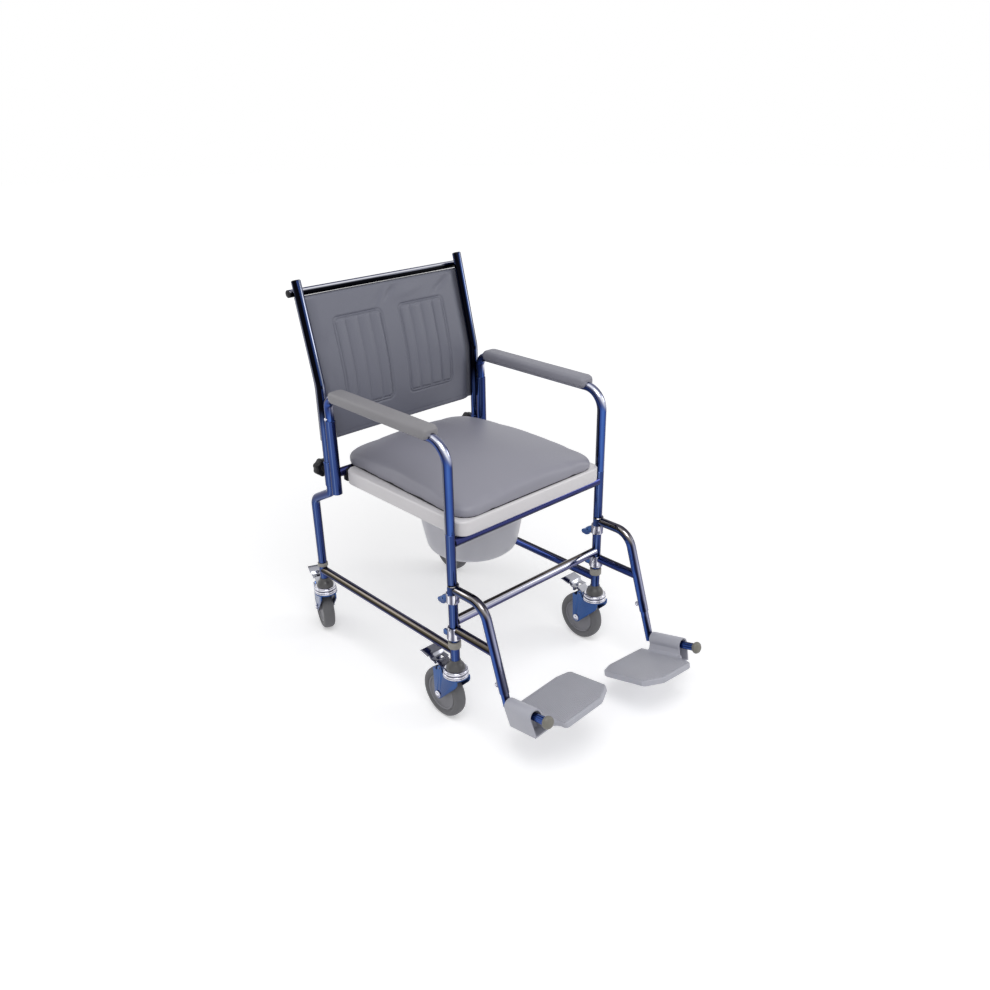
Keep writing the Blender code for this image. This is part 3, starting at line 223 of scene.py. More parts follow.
# %% Lamps
LAMP_AIM, CARD_AIM = Vector((0, 0, 0.45)), Vector((0, 0, 0.5))


def soft_lamp(name, place, size, watts):
    """Square lamp that faces the middle of the chair."""
    lamp = bpy.data.lights.new(name, "AREA")
    lamp.size = size
    lamp.energy = watts
    holder = new_object(name, lamp)
    holder.location = place
    holder.rotation_mode = "QUATERNION"
    holder.rotation_quaternion = (LAMP_AIM - Vector(place)).to_track_quat("-Z", "Y")
    print(name, watts, "W")


soft_lamp("overhead_lamp", (-0.9, -1.3, 3.1), 1.6, 34)
soft_lamp("side_lamp", (2.6, -1.9, 1.9), 1.2, 14)
soft_lamp("rear_lamp", (-1.6, 2.6, 2.2), 1.2, 10)

# %% Dark cards for the plated tube to mirror
CARD_NAVY = (0.010, 0.014, 0.045, 1)


def studio_card(name, place, width, height):
    """Upright or tilted card that faces the chair and is seen in reflections only."""
    paint = bpy.data.materials.new(name)
    paint.use_nodes = True
    set_inputs(paint.node_tree.nodes["Principled BSDF"], Base_Color=CARD_NAVY, Roughness=0.9)
    facing = (CARD_AIM - Vector(place)).to_track_quat("Z", "Y").to_matrix().to_4x4()
    card = bmesh.new()
    bmesh.ops.create_grid(card, x_segments=1, y_segments=1, size=0.5,
                          matrix=Matrix.Diagonal((width, height, 1, 1)))
    card.transform(Matrix.Translation(place) @ facing)
    made = new_object(name, mesh_of(card, name, paint))
    for kind in ("camera", "diffuse", "shadow", "transmission", "volume_scatter"):
        setattr(made, f"visible_{kind}", False)


studio_card("card_high_rear", (0.8, 2.7, 2.6), 3.2, 0.45)
studio_card("card_high_left", (-3.0, 0.8, 2.5), 2.6, 0.40)
studio_card("card_rear", (1.4, 3.6, 0.7), 2.6, 0.9)
studio_card("card_right", (3.7, 0.6, 0.8), 1.6, 1.1)
studio_card("card_left", (-3.6, 1.4, 0.7), 1.4, 1.0)

# %% [markdown]
# ## Shared effects
#
# Several finishes need the same small effects: a slow drift of colour, a fine leather-like grain,
# scattered scuffs, and the place of a point across a tube. Each is a shader group with named
# sockets, made once and placed in each material with its own values.

# %% Building blocks for groups
FLOAT, COLOUR, VECTOR = "NodeSocketFloat", "NodeSocketColor", "NodeSocketVector"


def new_group(name, inputs, outputs):
    """Shader group; inputs are (name, socket type, default), outputs are (name, socket type)."""
    group = bpy.data.node_groups.new(name, "ShaderNodeTree")
    for label, kind, default in inputs:
        socket = group.interface.new_socket(label, in_out="INPUT", socket_type=kind)
        if default is not None:
            socket.default_value = default
    for label, kind in outputs:
        group.interface.new_socket(label, in_out="OUTPUT", socket_type=kind)
    return group, add_node(group, "NodeGroupInput"), add_node(group, "NodeGroupOutput")


def feed(group, given, node, **sockets):
    """Links from the group's inputs, by name, to a node's inputs."""
    for label, socket in sockets.items():
        group.links.new(given.outputs[label], node.inputs[socket])


def mixed(tree, share, first, second, blend="MIX"):
    """Mix of two colours; each is a socket or a colour, and share is a socket or a number."""
    made = add_node(tree, "ShaderNodeMix", data_type="RGBA", blend_type=blend)
    slots = made.inputs["Factor"], made.inputs[6], made.inputs[7]
    for slot, operand in zip(slots, (share, first, second)):
        if isinstance(operand, bpy.types.NodeSocket):
            tree.links.new(operand, slot)
        else:
            slot.default_value = operand
    return made.outputs[2]


# %% Colour drift: a slow change of brightness over a surface
drift, given, out = new_group(
    "colour_drift", [("Place", VECTOR, None), ("Colour", COLOUR, (0.5, 0.5, 0.5, 1)),
                     ("Scale", FLOAT, 8.0), ("Amount", FLOAT, 0.1)], [("Colour", COLOUR)])
cloud = add_node(drift, "ShaderNodeTexNoise")
set_inputs(cloud, Detail=3)
feed(drift, given, cloud, Place="Vector", Scale="Scale")
swing = math_node(drift, "MULTIPLY", math_node(drift, "SUBTRACT", cloud.outputs["Fac"], 0.5),
                  given.outputs["Amount"])
shade = math_node(drift, "ADD", math_node(drift, "MULTIPLY", swing, 2.0), 1.0)
drift.links.new(mixed(drift, 1.0, given.outputs["Colour"], shade, "MULTIPLY"),
                out.inputs["Colour"])

# %% Fine grain: pebbles with a little noise, as a height
SPECKLE_SCALE, SPECKLE_SHARE = 0.35, 0.6
grain, given, out = new_group(
    "fine_grain", [("Place", VECTOR, None), ("Scale", FLOAT, 900.0), ("Softness", FLOAT, 0.5)],
    [("Height", FLOAT)])
pebbles = add_node(grain, "ShaderNodeTexVoronoi", feature="SMOOTH_F1")
speckle = add_node(grain, "ShaderNodeTexNoise")
feed(grain, given, pebbles, Place="Vector", Scale="Scale", Softness="Smoothness")
feed(grain, given, speckle, Place="Vector")
grain.links.new(math_node(grain, "MULTIPLY", given.outputs["Scale"], SPECKLE_SCALE),
                speckle.inputs["Scale"])
specks = math_node(grain, "MULTIPLY", speckle.outputs["Fac"], SPECKLE_SHARE)
grain.links.new(math_node(grain, "ADD", pebbles.outputs["Distance"], specks),
                out.inputs["Height"])

# %% Scuffs: sparse marks, 1 where the surface is worn
SCUFF_EDGE, SCUFF_SPREAD, SCUFF_CONTRAST = 0.80, 0.35, 9.0
scuffs, given, out = new_group(
    "scuffs", [("Place", VECTOR, None), ("Scale", FLOAT, 60.0), ("Cover", FLOAT, 0.3)],
    [("Mask", FLOAT)])
patches = add_node(scuffs, "ShaderNodeTexNoise")
set_inputs(patches, Detail=6, Roughness=0.75)
feed(scuffs, given, patches, Place="Vector", Scale="Scale")
spread = math_node(scuffs, "MULTIPLY", given.outputs["Cover"], SCUFF_SPREAD)
edge = math_node(scuffs, "SUBTRACT", SCUFF_EDGE, spread)
over = math_node(scuffs, "SUBTRACT", patches.outputs["Fac"], edge)
scuffs.links.new(math_node(scuffs, "MULTIPLY", over, SCUFF_CONTRAST, clamp=True),
                 out.inputs["Mask"])

# %% [markdown]
# Bright plating has almost no colour of its own: it shows what stands round it. In the photograph
# each tube carries long bands, with dark edges, a blue or olive field and a white line. Here those
# reflections are painted into the base colour, as a ramp of 5 to 13 colours for each kind of tube:
# painted dark lines, painted fields and painted highlights. The stops were placed one by one, and
# some were changed with the mean colours of whole stretches of tube in view. A painted band keeps
# its place across the tube, so it can be found from the direction in which the surface faces,
# compared with a fixed direction across that run of tube. It then stays put when the chair is seen
# from elsewhere.

# %% Place across a tube: 0 on one edge, 1 on the other
edge_to_edge, given, out = new_group(
    "place_across_tube", [("Facing", VECTOR, None), ("Across", VECTOR, None)], [("Place", FLOAT)])
lean_over = add_node(edge_to_edge, "ShaderNodeVectorMath", operation="DOT_PRODUCT")
feed(edge_to_edge, given, lean_over, Facing=0, Across=1)
half = math_node(edge_to_edge, "MULTIPLY", lean_over.outputs["Value"], 0.5)
edge_to_edge.links.new(math_node(edge_to_edge, "ADD", half, 0.5, clamp=True), out.inputs["Place"])
print("shader groups:", [group.name for group in bpy.data.node_groups])


# %% [markdown]
# ## Finishes
#
# Every finish starts from the same pattern: colour with a slow drift, roughness that rises where
# the surface is scuffed, and a bump from the grain. The numbers differ: vinyl has a soft sheen and
# a fine grain, moulded plastic is smoother, rubber is dull and dusty, plating is nearly a mirror.

# %% A finish with drift, scuffs and grain
WORN_TINT, WORN_DULLING, GRAIN_STRENGTH = 0.6, 0.14, 0.35


def place_group(tree, group, **values):
    made = add_node(tree, "ShaderNodeGroup", node_tree=group)
    for label, value in values.items():
        if isinstance(value, bpy.types.NodeSocket):
            tree.links.new(value, made.inputs[label])
        else:
            made.inputs[label].default_value = value
    return made.outputs[0]


def bumped(tree, shader, height, strength, distance):
    """Let a height tilt the surface of the shader."""
    bump = add_node(tree, "ShaderNodeBump")
    set_inputs(bump, Strength=strength, Distance=distance)
    tree.links.new(height, bump.inputs["Height"])
    tree.links.new(bump.outputs["Normal"], shader.inputs["Normal"])


def finish(name, colour, roughness, drift_amount=0.06, drift_scale=9.0, worn=0.2,
           worn_scale=70.0, grain_scale=900.0, grain_depth=0.0, worn_colour=None):
    """Material with a drifting colour, scuffs that dull it and a grain, and its parts."""
    made = bpy.data.materials.new(name)
    made.use_nodes = True
    tree = made.node_tree
    shader = tree.nodes["Principled BSDF"]
    place = add_node(tree, "ShaderNodeTexCoord").outputs["Object"]
    base = place_group(tree, drift, Place=place, Colour=(*colour, 1), Scale=drift_scale,
                       Amount=drift_amount)
    marks = place_group(tree, scuffs, Place=place, Scale=worn_scale, Cover=worn)
    if worn_colour:
        base = mixed(tree, math_node(tree, "MULTIPLY", marks, WORN_TINT), base, (*worn_colour, 1))
    tree.links.new(base, shader.inputs["Base Color"])
    dulling = math_node(tree, "MULTIPLY", marks, WORN_DULLING)
    tree.links.new(math_node(tree, "ADD", dulling, roughness, clamp=True),
                   shader.inputs["Roughness"])
    if grain_depth:
        height = place_group(tree, grain, Place=place, Scale=grain_scale)
        bumped(tree, shader, height, GRAIN_STRENGTH, grain_depth)
    return made, tree, shader, place


# %% Plating whose colour is a ramp of painted reflection bands
def shown(*values):
    """Linear values of a colour that a picture shows as 0 to 255."""
    return [((value / 255 + 0.055) / 1.055) ** 2.4 if value > 10 else value / 3294.6
            for value in values]


def painted_reflection_bands(tree, facing, across, stops):
    """Colour of a tube from (place, red, green, blue) stops, which is painted reflection; across
    leads from edge 0 to 1.
    """
    place = place_group(tree, edge_to_edge, Facing=facing, Across=across)
    ramp = add_node(tree, "ShaderNodeValToRGB")
    elements = ramp.color_ramp.elements
    for element, stop in zip(elements, (stops[0], stops[-1])):
        element.position, element.color = stop[0], (*shown(*stop[1:]), 1)
    for stop in stops[1:-1]:
        elements.new(stop[0]).color = (*shown(*stop[1:]), 1)
    tree.links.new(place, ramp.inputs["Fac"])
    return ramp.outputs["Color"]


def plated(name, roughness, low_look, high_look=None, switch=None, worn=0.15):
    """Plating whose colour is painted reflection; a look is (across, stops), and the high look
    takes over between two heights.
    """
    made, tree, shader, place = finish(name, (0.6, 0.6, 0.7), roughness, worn=worn,
                                       worn_scale=160.0)
    facing = add_node(tree, "ShaderNodeTexCoord").outputs["Normal"]
    colour = painted_reflection_bands(tree, facing, *low_look)
    if high_look:
        split = add_node(tree, "ShaderNodeSeparateXYZ")
        tree.links.new(place, split.inputs[0])
        risen = between(tree, split.outputs["Z"], *switch)
        colour = mixed(tree, risen, colour, painted_reflection_bands(tree, facing, *high_look))
    tree.links.new(place_group(tree, drift, Place=place, Colour=colour, Scale=24.0, Amount=0.10),
                   shader.inputs["Base Color"])
    set_inputs(shader, Metallic=1.0)
    return made


# %% Painted reflection bands of the plated runs
# Each ramp is the painted reflection of one kind of tube: dark lines, blue or olive fields and
# white highlights. Upright tube runs from its left edge to its right as the picture shows it, level
# tube from its underside to its top.
UPRIGHT, LENGTHWISE = (0.733, -0.680, 0), (0.598, 0, 0.801)
CROSSWISE, RAKED = (0, 0.569, 0.823), (0.782, -0.594, 0.189)
UP = (0, 0, 1)
LEG = [(0, 18, 20, 50), (0.10, 32, 42, 90), (0.22, 50, 70, 122), (0.36, 54, 76, 130),
       (0.42, 98, 118, 164), (0.48, 54, 74, 128), (0.76, 46, 62, 114), (0.90, 32, 40, 88),
       (1, 16, 17, 46)]
POST = [(0, 26, 28, 60), (0.10, 112, 116, 134), (0.19, 16, 17, 34), (0.32, 44, 66, 130),
        (0.55, 68, 100, 168), (0.72, 56, 86, 154), (0.89, 36, 50, 108), (1, 14, 17, 50)]
BEND = [(0, 22, 26, 66), (0.16, 58, 82, 148), (0.30, 26, 30, 66), (0.44, 116, 120, 150),
        (0.56, 236, 238, 246), (0.68, 196, 200, 222), (0.80, 66, 70, 104), (0.90, 120, 124, 150),
        (1, 26, 30, 64)]
RAIL = [(0, 20, 24, 62), (0.10, 38, 50, 104), (0.20, 30, 36, 84), (0.27, 10, 10, 18),
        (0.33, 12, 12, 18), (0.42, 66, 60, 50), (0.54, 94, 87, 75), (0.66, 102, 96, 88),
        (0.74, 128, 122, 126), (0.80, 80, 75, 76), (0.86, 26, 25, 40), (0.93, 46, 46, 88),
        (1, 18, 18, 44)]
FAR_RAIL = [(0, 20, 24, 62), (0.20, 34, 46, 98), (0.45, 46, 64, 124), (0.62, 52, 60, 104),
            (0.72, 92, 94, 122), (0.80, 24, 24, 40), (0.92, 10, 10, 18), (1, 16, 16, 36)]
CROSS = [(0, 24, 22, 60), (0.12, 52, 52, 102), (0.24, 116, 118, 154), (0.40, 156, 157, 180),
         (0.50, 204, 204, 212), (0.60, 150, 150, 168), (0.69, 188, 188, 196),
         (0.77, 122, 114, 106), (0.86, 70, 60, 54), (0.94, 38, 31, 38), (1, 18, 16, 36)]
SEAT_TUBE = [(0, 18, 18, 50), (0.25, 50, 54, 102), (0.55, 60, 66, 116), (0.75, 44, 47, 92),
             (1, 18, 18, 44)]
HANGER = [(0, 24, 30, 78), (0.10, 48, 76, 144), (0.26, 62, 92, 160), (0.36, 30, 36, 82),
          (0.46, 14, 15, 32), (0.56, 50, 52, 74), (0.66, 122, 124, 150), (0.78, 158, 161, 184),
          (0.87, 92, 96, 128), (0.95, 44, 46, 84), (1, 24, 24, 60)]
ELBOW = [(0, 20, 24, 58), (0.20, 52, 70, 118), (0.34, 18, 18, 32), (0.48, 116, 109, 102),
         (0.60, 176, 173, 174), (0.70, 92, 88, 88), (0.84, 54, 52, 68), (1, 20, 20, 46)]
UPRIGHT_DARK = [(0, 24, 28, 60), (0.10, 36, 50, 90), (0.19, 14, 14, 22), (0.62, 8, 8, 13),
                (0.73, 40, 56, 106), (0.81, 60, 80, 122), (0.88, 150, 154, 168),
                (0.95, 66, 72, 104), (1, 26, 29, 68)]
PUSH = [(0, 11, 11, 22), (0.10, 8, 8, 13), (0.34, 8, 8, 13), (0.44, 96, 98, 110),
        (0.52, 200, 202, 210), (0.63, 226, 226, 233), (0.71, 92, 97, 128), (0.80, 26, 30, 68),
        (1, 20, 22, 54)]
COLLAR = [(0, 40, 42, 62), (0.12, 150, 150, 166), (0.22, 245, 245, 250), (0.32, 126, 126, 142),
          (0.45, 62, 64, 84), (0.55, 200, 200, 216), (0.64, 250, 250, 252), (0.76, 142, 142, 164),
          (0.88, 70, 72, 112), (1, 30, 32, 70)]
RING = [(0, 60, 60, 84), (0.35, 116, 116, 134), (0.50, 196, 196, 208), (0.62, 246, 246, 250),
        (0.80, 166, 166, 180), (1, 214, 214, 222)]
PEDAL = [(0, 36, 40, 74), (0.40, 78, 82, 108), (0.55, 118, 120, 138), (0.80, 160, 161, 172),
         (0.93, 186, 187, 194), (1, 150, 151, 160)]
FORK = [(0, 22, 30, 66), (0.35, 40, 60, 108), (0.50, 58, 88, 142), (0.75, 82, 108, 158),
        (1, 98, 120, 164)]

# %% Plated finishes, and the heights between which some switch from one painted reflection to another
ARM_TURN_Z, KNEE_TURN_Z, ARM_SHADE_Z = (0.640, 0.672), (0.325, 0.352), (0.600, 0.660)
chrome = plated("chrome_legs", 0.10, (UPRIGHT, LEG))
# The near and far rails are one plating with two different painted reflections.
rail_chrome = {"right": plated("chrome_near_rail", 0.10, (LENGTHWISE, RAIL)),
               "left": plated("chrome_far_rail", 0.10, (LENGTHWISE, FAR_RAIL))}
cross_chrome = plated("chrome_cross_tube", 0.10, (CROSSWISE, CROSS))
seat_chrome = plated("chrome_seat_tubes", 0.12, (CROSSWISE, SEAT_TUBE))
arm_chrome = plated("chrome_arms", 0.09, (UPRIGHT, POST), (LENGTHWISE, BEND), ARM_TURN_Z)
hanger_chrome = plated("chrome_hangers", 0.09, (RAKED, HANGER), (LENGTHWISE, ELBOW), KNEE_TURN_Z)
back_chrome = plated("chrome_uprights", 0.10, (UPRIGHT, LEG), (UPRIGHT, UPRIGHT_DARK), ARM_SHADE_Z)
push_chrome = plated("chrome_push_bar", 0.10, (CROSSWISE, PUSH))
collar_bright = plated("bright_collars", 0.10, (UPRIGHT, COLLAR))
# Rings, pedals and forks are painted darker on their undersides and lighter on top: painted shade
# and light.
bright = plated("bright_rings", 0.12, (UP, RING))
pedal_bright = plated("bright_pedals", 0.16, (UP, PEDAL), worn=0.3)
fork_blue = plated("plated_fork", 0.24, (UP, FORK), worn=0.4)
print("finishes so far:", len(bpy.data.materials))


# %% Vinyl, foam, plastics and rubber
def vinyl(name, colour):
    return finish(name, colour, 0.42, 0.05, 5.0, 0.15, 50.0, 1500.0, 0.00025)[0]


def foam_skin(name, colour):
    return finish(name, colour, 0.50, 0.08, 14.0, 0.35, 90.0, 1100.0, 0.00015)[0]


def moulded(name, colour, roughness, drift_amount, drift_scale, worn=0.3, worn_scale=150.0):
    return finish(name, colour, roughness, drift_amount, drift_scale, worn, worn_scale)[0]


# Seat and back are one grey vinyl in two copies: the back's is about half as bright, which is
# painted shade.
seat_vinyl = vinyl("grey_vinyl_seat", (0.300, 0.298, 0.352))
back_vinyl = vinyl("grey_vinyl_back", (0.152, 0.157, 0.198))
# The two arm pads are one foam skin in two copies: the near one warmer, as painted warm light, the
# far one bluer, as painted bluish shade.
pad_skin = {"right": foam_skin("arm_foam_skin_near", (0.262, 0.256, 0.272)),
            "left": foam_skin("arm_foam_skin_far", (0.262, 0.262, 0.306))}
tray_white = moulded("seat_plastic_white", (0.74, 0.72, 0.74), 0.34, 0.03, 8.0, 0.2, 90.0)
hub_grey = moulded("hub_plastic_grey", (0.215, 0.213, 0.235), 0.42, 0.06, 40.0)
cone_grey = moulded("stem_cone_grey", (0.085, 0.083, 0.085), 0.30, 0.20, 60.0)
# The bushes' beige is a painted reflection: the warm highlight that the rails' tops carry round the
# legs.
bush_painted_beige = moulded("bush_beige_painted_reflection", (0.31, 0.295, 0.265), 0.45, 0.08, 60.0)
cap_beige = moulded("bar_cap_plastic", (0.20, 0.192, 0.165), 0.40, 0.10, 50.0)
tyre_grey = finish("tyre_rubber_grey", (0.138, 0.138, 0.146), 0.62, 0.10, 30.0, 0.5, 110.0,
                   1400.0, 0.0002, worn_colour=(0.22, 0.21, 0.205))[0]
black, _, shader, _ = finish("black_plastic", (0.007, 0.007, 0.010), 0.42, 0.2, 30.0, 0.3, 120.0)
set_inputs(shader, Specular_IOR_Level=0.25)

# %% Translucent pan
# The pan is milky polypropylene: light passes through it but no picture does.
pan_milk, _, shader, _ = finish("pan_milky", (0.74, 0.74, 0.80), 0.34, 0.05, 10.0, 0.2, 80.0)
set_inputs(shader, Transmission_Weight=0.16, IOR=1.45)
print("finishes:", len(bpy.data.materials))

# %% [markdown]
# ## Making pieces
#
# Tube is made the way a bender makes it: a ring is pushed along each straight run and swung round
# each bend's centre. Anything round is an outline spun about its axis. Plates are an outline
# pushed to its thickness. Sharp edges then get a small round, because a perfectly sharp edge
# catches no light and looks like cut paper.

# %% Finish a mesh and hang it on its body
SAME_POINT, CAD_SAME_POINT = 1e-6, 2e-6


def add_piece(bm, name, material, slot, body, *stands_for, sharp=35):
    """Piece of the chair from a bmesh; it rides on a body and may stand for CAD nodes."""
    bmesh.ops.remove_doubles(bm, verts=bm.verts, dist=SAME_POINT)
    bmesh.ops.recalc_face_normals(bm, faces=bm.faces)
    mesh = mesh_of(bm, name, material)
    mesh.shade_smooth()
    mesh.set_sharp_from_angle(angle=radians(sharp))
    piece = new_object(name, mesh)
    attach(piece, body)
    if stands_for:
        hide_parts(*stands_for)
    return piece


def gathered(first, *others):
    """One bmesh that holds them all."""
    for other in others:
        spare = mesh_of(other, "spare")
        first.from_mesh(spare)
        bpy.data.meshes.remove(spare)
    return first


# %% Round the sharp edges
def rounded(bm, edges, width, segments=2):
    bmesh.ops.bevel(bm, geom=edges, offset=width, segments=segments, profile=0.5,
                    affect="EDGES", clamp_overlap=True, material=-1)


def softened(bm, width, segments=2, angle=30):
    """Round every edge that is sharper than the angle."""
    sharp = [edge for edge in bm.edges
             if edge.is_manifold and edge.calc_face_angle() > radians(angle)]
    rounded(bm, sharp, width, segments)
    return bm


# %% Tube: pushed along its runs, swung round its bends
TUBE_R, TUBE_SIDES, BEND_STEP = 0.0111, 36, radians(7.5)


def only(kind, items):
    """Those of the items that are of one kind, such as edges."""
    return [item for item in items if isinstance(item, kind)]


def new_verts(result):
    return only(bmesh.types.BMVert, result["geom"])


def tube(corners, bends=(), radius=TUBE_R, rim=0.0009):
    """Tube through the corners; each inner corner has its bend, and rim rounds the ends."""
    corners = [Vector(corner) for corner in corners]
    heading = (corners[1] - corners[0]).normalized()
    bm = bmesh.new()
    start = Matrix.Translation(corners[0]) @ heading.to_track_quat("Z", "Y").to_matrix().to_4x4()
    bmesh.ops.create_circle(bm, cap_ends=False, segments=TUBE_SIDES, radius=radius,
                            matrix=start)
    first = ring = list(bm.edges)
    at = corners[0]

    def pushed(ring, run):
        grown = bmesh.ops.extrude_edge_only(bm, edges=ring)
        verts = new_verts(grown)
        bmesh.ops.translate(bm, verts=verts, vec=run)
        found = set(verts)
        return [edge for edge in only(bmesh.types.BMEdge, grown["geom"])
                if all(vert in found for vert in edge.verts)]

    for corner, after, bend in zip(corners[1:], corners[2:], bends):
        onward = (after - corner).normalized()
        angle = heading.angle(onward)
        reach = bend * tan(angle / 2)
        ring = pushed(ring, corner - heading * reach - at)
        axis = heading.cross(onward).normalized()
        centre = corner - heading * reach + axis.cross(heading) * bend
        spun = bmesh.ops.spin(bm, geom=ring, cent=centre, axis=axis, angle=angle,
                              steps=max(4, round(angle / BEND_STEP)), use_merge=False)
        ring = only(bmesh.types.BMEdge, spun["geom_last"])
        at = corner + onward * reach
        heading = onward
    last = pushed(ring, corners[-1] - at)
    for loop in (first, last):
        bmesh.ops.edgeloop_fill(bm, edges=loop)
    if rim:
        rounded(bm, first + last, rim)
    return bm


# %% Turned piece: an outline spun about Z, then put in its place
def turned(profile, place=Matrix(), steps=40, angle=2 * pi):
    """Profile of (radius, height); it is closed unless it starts and ends on the axis."""
    bm = bmesh.new()
    verts = [bm.verts.new((radius, 0, height)) for radius, height in profile]
    edges = [bm.edges.new(pair) for pair in zip(verts, verts[1:])]
    if profile[0][0] > 0 or profile[-1][0] > 0:
        edges.append(bm.edges.new((verts[-1], verts[0])))
    whole = abs(angle - 2 * pi) < 1e-6
    spun = bmesh.ops.spin(bm, geom=verts + edges, cent=(0, 0, 0), axis=(0, 0, 1), angle=angle,
                          steps=steps, use_merge=whole)
    if not whole:
        for rim in (edges, only(bmesh.types.BMEdge, spun["geom_last"])):
            bmesh.ops.contextual_create(bm, geom=rim)
    bmesh.ops.remove_doubles(bm, verts=bm.verts, dist=SAME_POINT)
    bm.transform(place)
    return bm


def sleeve(bore, radius, ends, low_cut=0.0008, high_cut=0.0008):
    """Outline of a sleeve between two heights, with its outer corners cut."""
    low, high = ends
    return [(bore, low), (radius - low_cut, low), (radius, low + low_cut),
            (radius, high - high_cut), (radius - high_cut, high), (bore, high)]


# %% Places, and axes other than Z
def put(x, y, z=0):
    return Matrix.Translation((x, y, z))


def quarter(axis, sign=1):
    """Quarter turn: about Y it leads from Z to X, about X from Z to -Y."""
    return Matrix.Rotation(sign * pi / 2, 4, axis)


# %% Plate: an outline pushed to its thickness
def plate(outline, low, high, normal="Z"):
    """Outline points are (x, y) for Z and (y, z) for X."""
    def point(first, second, height):
        return (height, first, second) if normal == "X" else (first, second, height)

    bm = bmesh.new()
    face = bm.faces.new([bm.verts.new(point(*pair, low)) for pair in outline])
    grown = bmesh.ops.extrude_face_region(bm, geom=[face])
    bmesh.ops.translate(bm, verts=new_verts(grown),
                        vec=Vector(point(0, 0, high)) - Vector(point(0, 0, low)))
    return bm


def block(low, high):
    """Box between two corners."""
    low, high = Vector(low), Vector(high)
    bm = bmesh.new()
    bmesh.ops.create_cube(bm, size=1, matrix=Matrix.Translation((low + high) / 2) @
                          Matrix.Diagonal((*(high - low), 1)))
    return bm


# %% Copy of a CAD node, cleaned so that its edges can be rounded
def from_cad(node, width, segments, angle):
    """A CAD mesh is loose triangles, so it is merged and its flat faces are joined first."""
    bm = bmesh.new()
    bm.from_mesh(frame["nodes"][node].data)
    bmesh.ops.remove_doubles(bm, verts=bm.verts, dist=CAD_SAME_POINT)
    bmesh.ops.dissolve_limit(bm, angle_limit=radians(1), verts=bm.verts, edges=bm.edges)
    return softened(bm, width, segments, angle)


# %% [markdown]
# ## The frame's measures
#
# These are the same named sizes as in the engineering model. They are repeated here so that each
# new piece lands on the solid that it dresses.

# %% Measures of the frame
SIDES = {"right": -1, "left": 1}
GAP = 0.0003
SLEEVE_R, SPIGOT_R = 0.0127, 0.0085
HALF_WIDTH = 0.238
FRONT_Y, REAR_Y, BACK_Y = -0.1492, 0.3778, 0.2978
RECEIVER_Y = BACK_Y - 2 * SLEEVE_R - GAP
FOOT_Z, RAIL_Z, CROSS_Z = 0.1718, 0.1943, 0.2713
SEAT_TUBE_Z, REAR_TUBE_Z = 0.465, 0.4995
ARM_JOINT_Z, ARM_Z = 0.489, 0.691
SOCKET_Z = (0.462, 0.524)
RECEIVER_Z = (0.447, 0.634)
CRANK_Z, CRANK_BENDS = (0.401, 0.443), (0.026, 0.019)
UPRIGHT_PLUG, SPIGOT_LENGTH = 0.058, 0.040
print("legs stand", round(1000 * (REAR_Y - FRONT_Y)), "mm apart along,",
      round(2000 * HALF_WIDTH), "mm across")

# %% [markdown]
# ## Legs and rails
#
# The frame is welded from one size of tube. Each front leg is open at the top, where the arm plugs
# in, and carries a ring near its foot on which the leg rest turns. Each rear leg is cranked
# forwards under the seat and ends in a wider socket. A boolean could open the tops, but a turned
# outline that runs up the outside and down the bore does it with clean edges.

# %% Outlines of the legs' round pieces
LEG_FOOT_Z, BORE_R, SLIDING_R, EDGE = FOOT_Z + GAP, SPIGOT_R + GAP, TUBE_R + GAP, 0.0007
bore_floor = ARM_JOINT_Z - SPIGOT_LENGTH - GAP
socket_floor = SOCKET_Z[1] - UPRIGHT_PLUG - GAP
FRONT_LEG = [(0, LEG_FOOT_Z), (TUBE_R, LEG_FOOT_Z), (TUBE_R, ARM_JOINT_Z - EDGE),
             (TUBE_R - EDGE, ARM_JOINT_Z), (BORE_R, ARM_JOINT_Z), (BORE_R, bore_floor),
             (0, bore_floor)]
REST_BUSH = [(TUBE_R - 0.001, 0.2045), (0.0138, 0.2045), (0.0148, 0.2060), (0.0148, 0.2205),
             (0.0140, 0.2218), (TUBE_R - 0.001, 0.2218)]
RAIL_RING = [(TUBE_R - 0.001, 0.2075), (0.0126, 0.2075), (0.0132, 0.2085), (0.0132, 0.2165),
             (0.0126, 0.2175), (TUBE_R - 0.001, 0.2175)]
SOCKET = [*sleeve(0, SLEEVE_R, SOCKET_Z, 0.001)[:-1], (SLIDING_R, SOCKET_Z[1]),
          (SLIDING_R, socket_floor), (0, socket_floor)]
RECEIVER = sleeve(SLIDING_R, SLEEVE_R, RECEIVER_Z, 0.0006)

# %% Front legs
for side, sign in SIDES.items():
    place = put(sign * HALF_WIDTH, FRONT_Y)
    add_piece(turned(FRONT_LEG, place), f"leg_front_{side}", chrome, "chrome", "frame",
              f"front_leg_{side}")
    add_piece(turned(REST_BUSH, place), f"rest_bush_{side}", bush_painted_beige, "hub_plastic", "frame")

# %% Rear legs with their sockets
for side, sign in SIDES.items():
    x = sign * HALF_WIDTH
    leg = tube([(x, REAR_Y, LEG_FOOT_Z), (x, REAR_Y, CRANK_Z[0]), (x, BACK_Y, CRANK_Z[1]),
                (x, BACK_Y, SOCKET_Z[0] + 0.002)], CRANK_BENDS)
    add_piece(gathered(leg, turned(SOCKET, put(x, BACK_Y))), f"leg_rear_{side}", chrome, "chrome",
              "frame", f"rear_leg_{side}")
    add_piece(turned(RAIL_RING, put(x, REAR_Y)), f"rail_ring_{side}", bush_painted_beige, "hub_plastic",
              "frame")
    add_piece(turned(RECEIVER, put(x, RECEIVER_Y)), f"receiver_{side}", chrome, "chrome", "frame",
              f"arm_receiver_{side}")

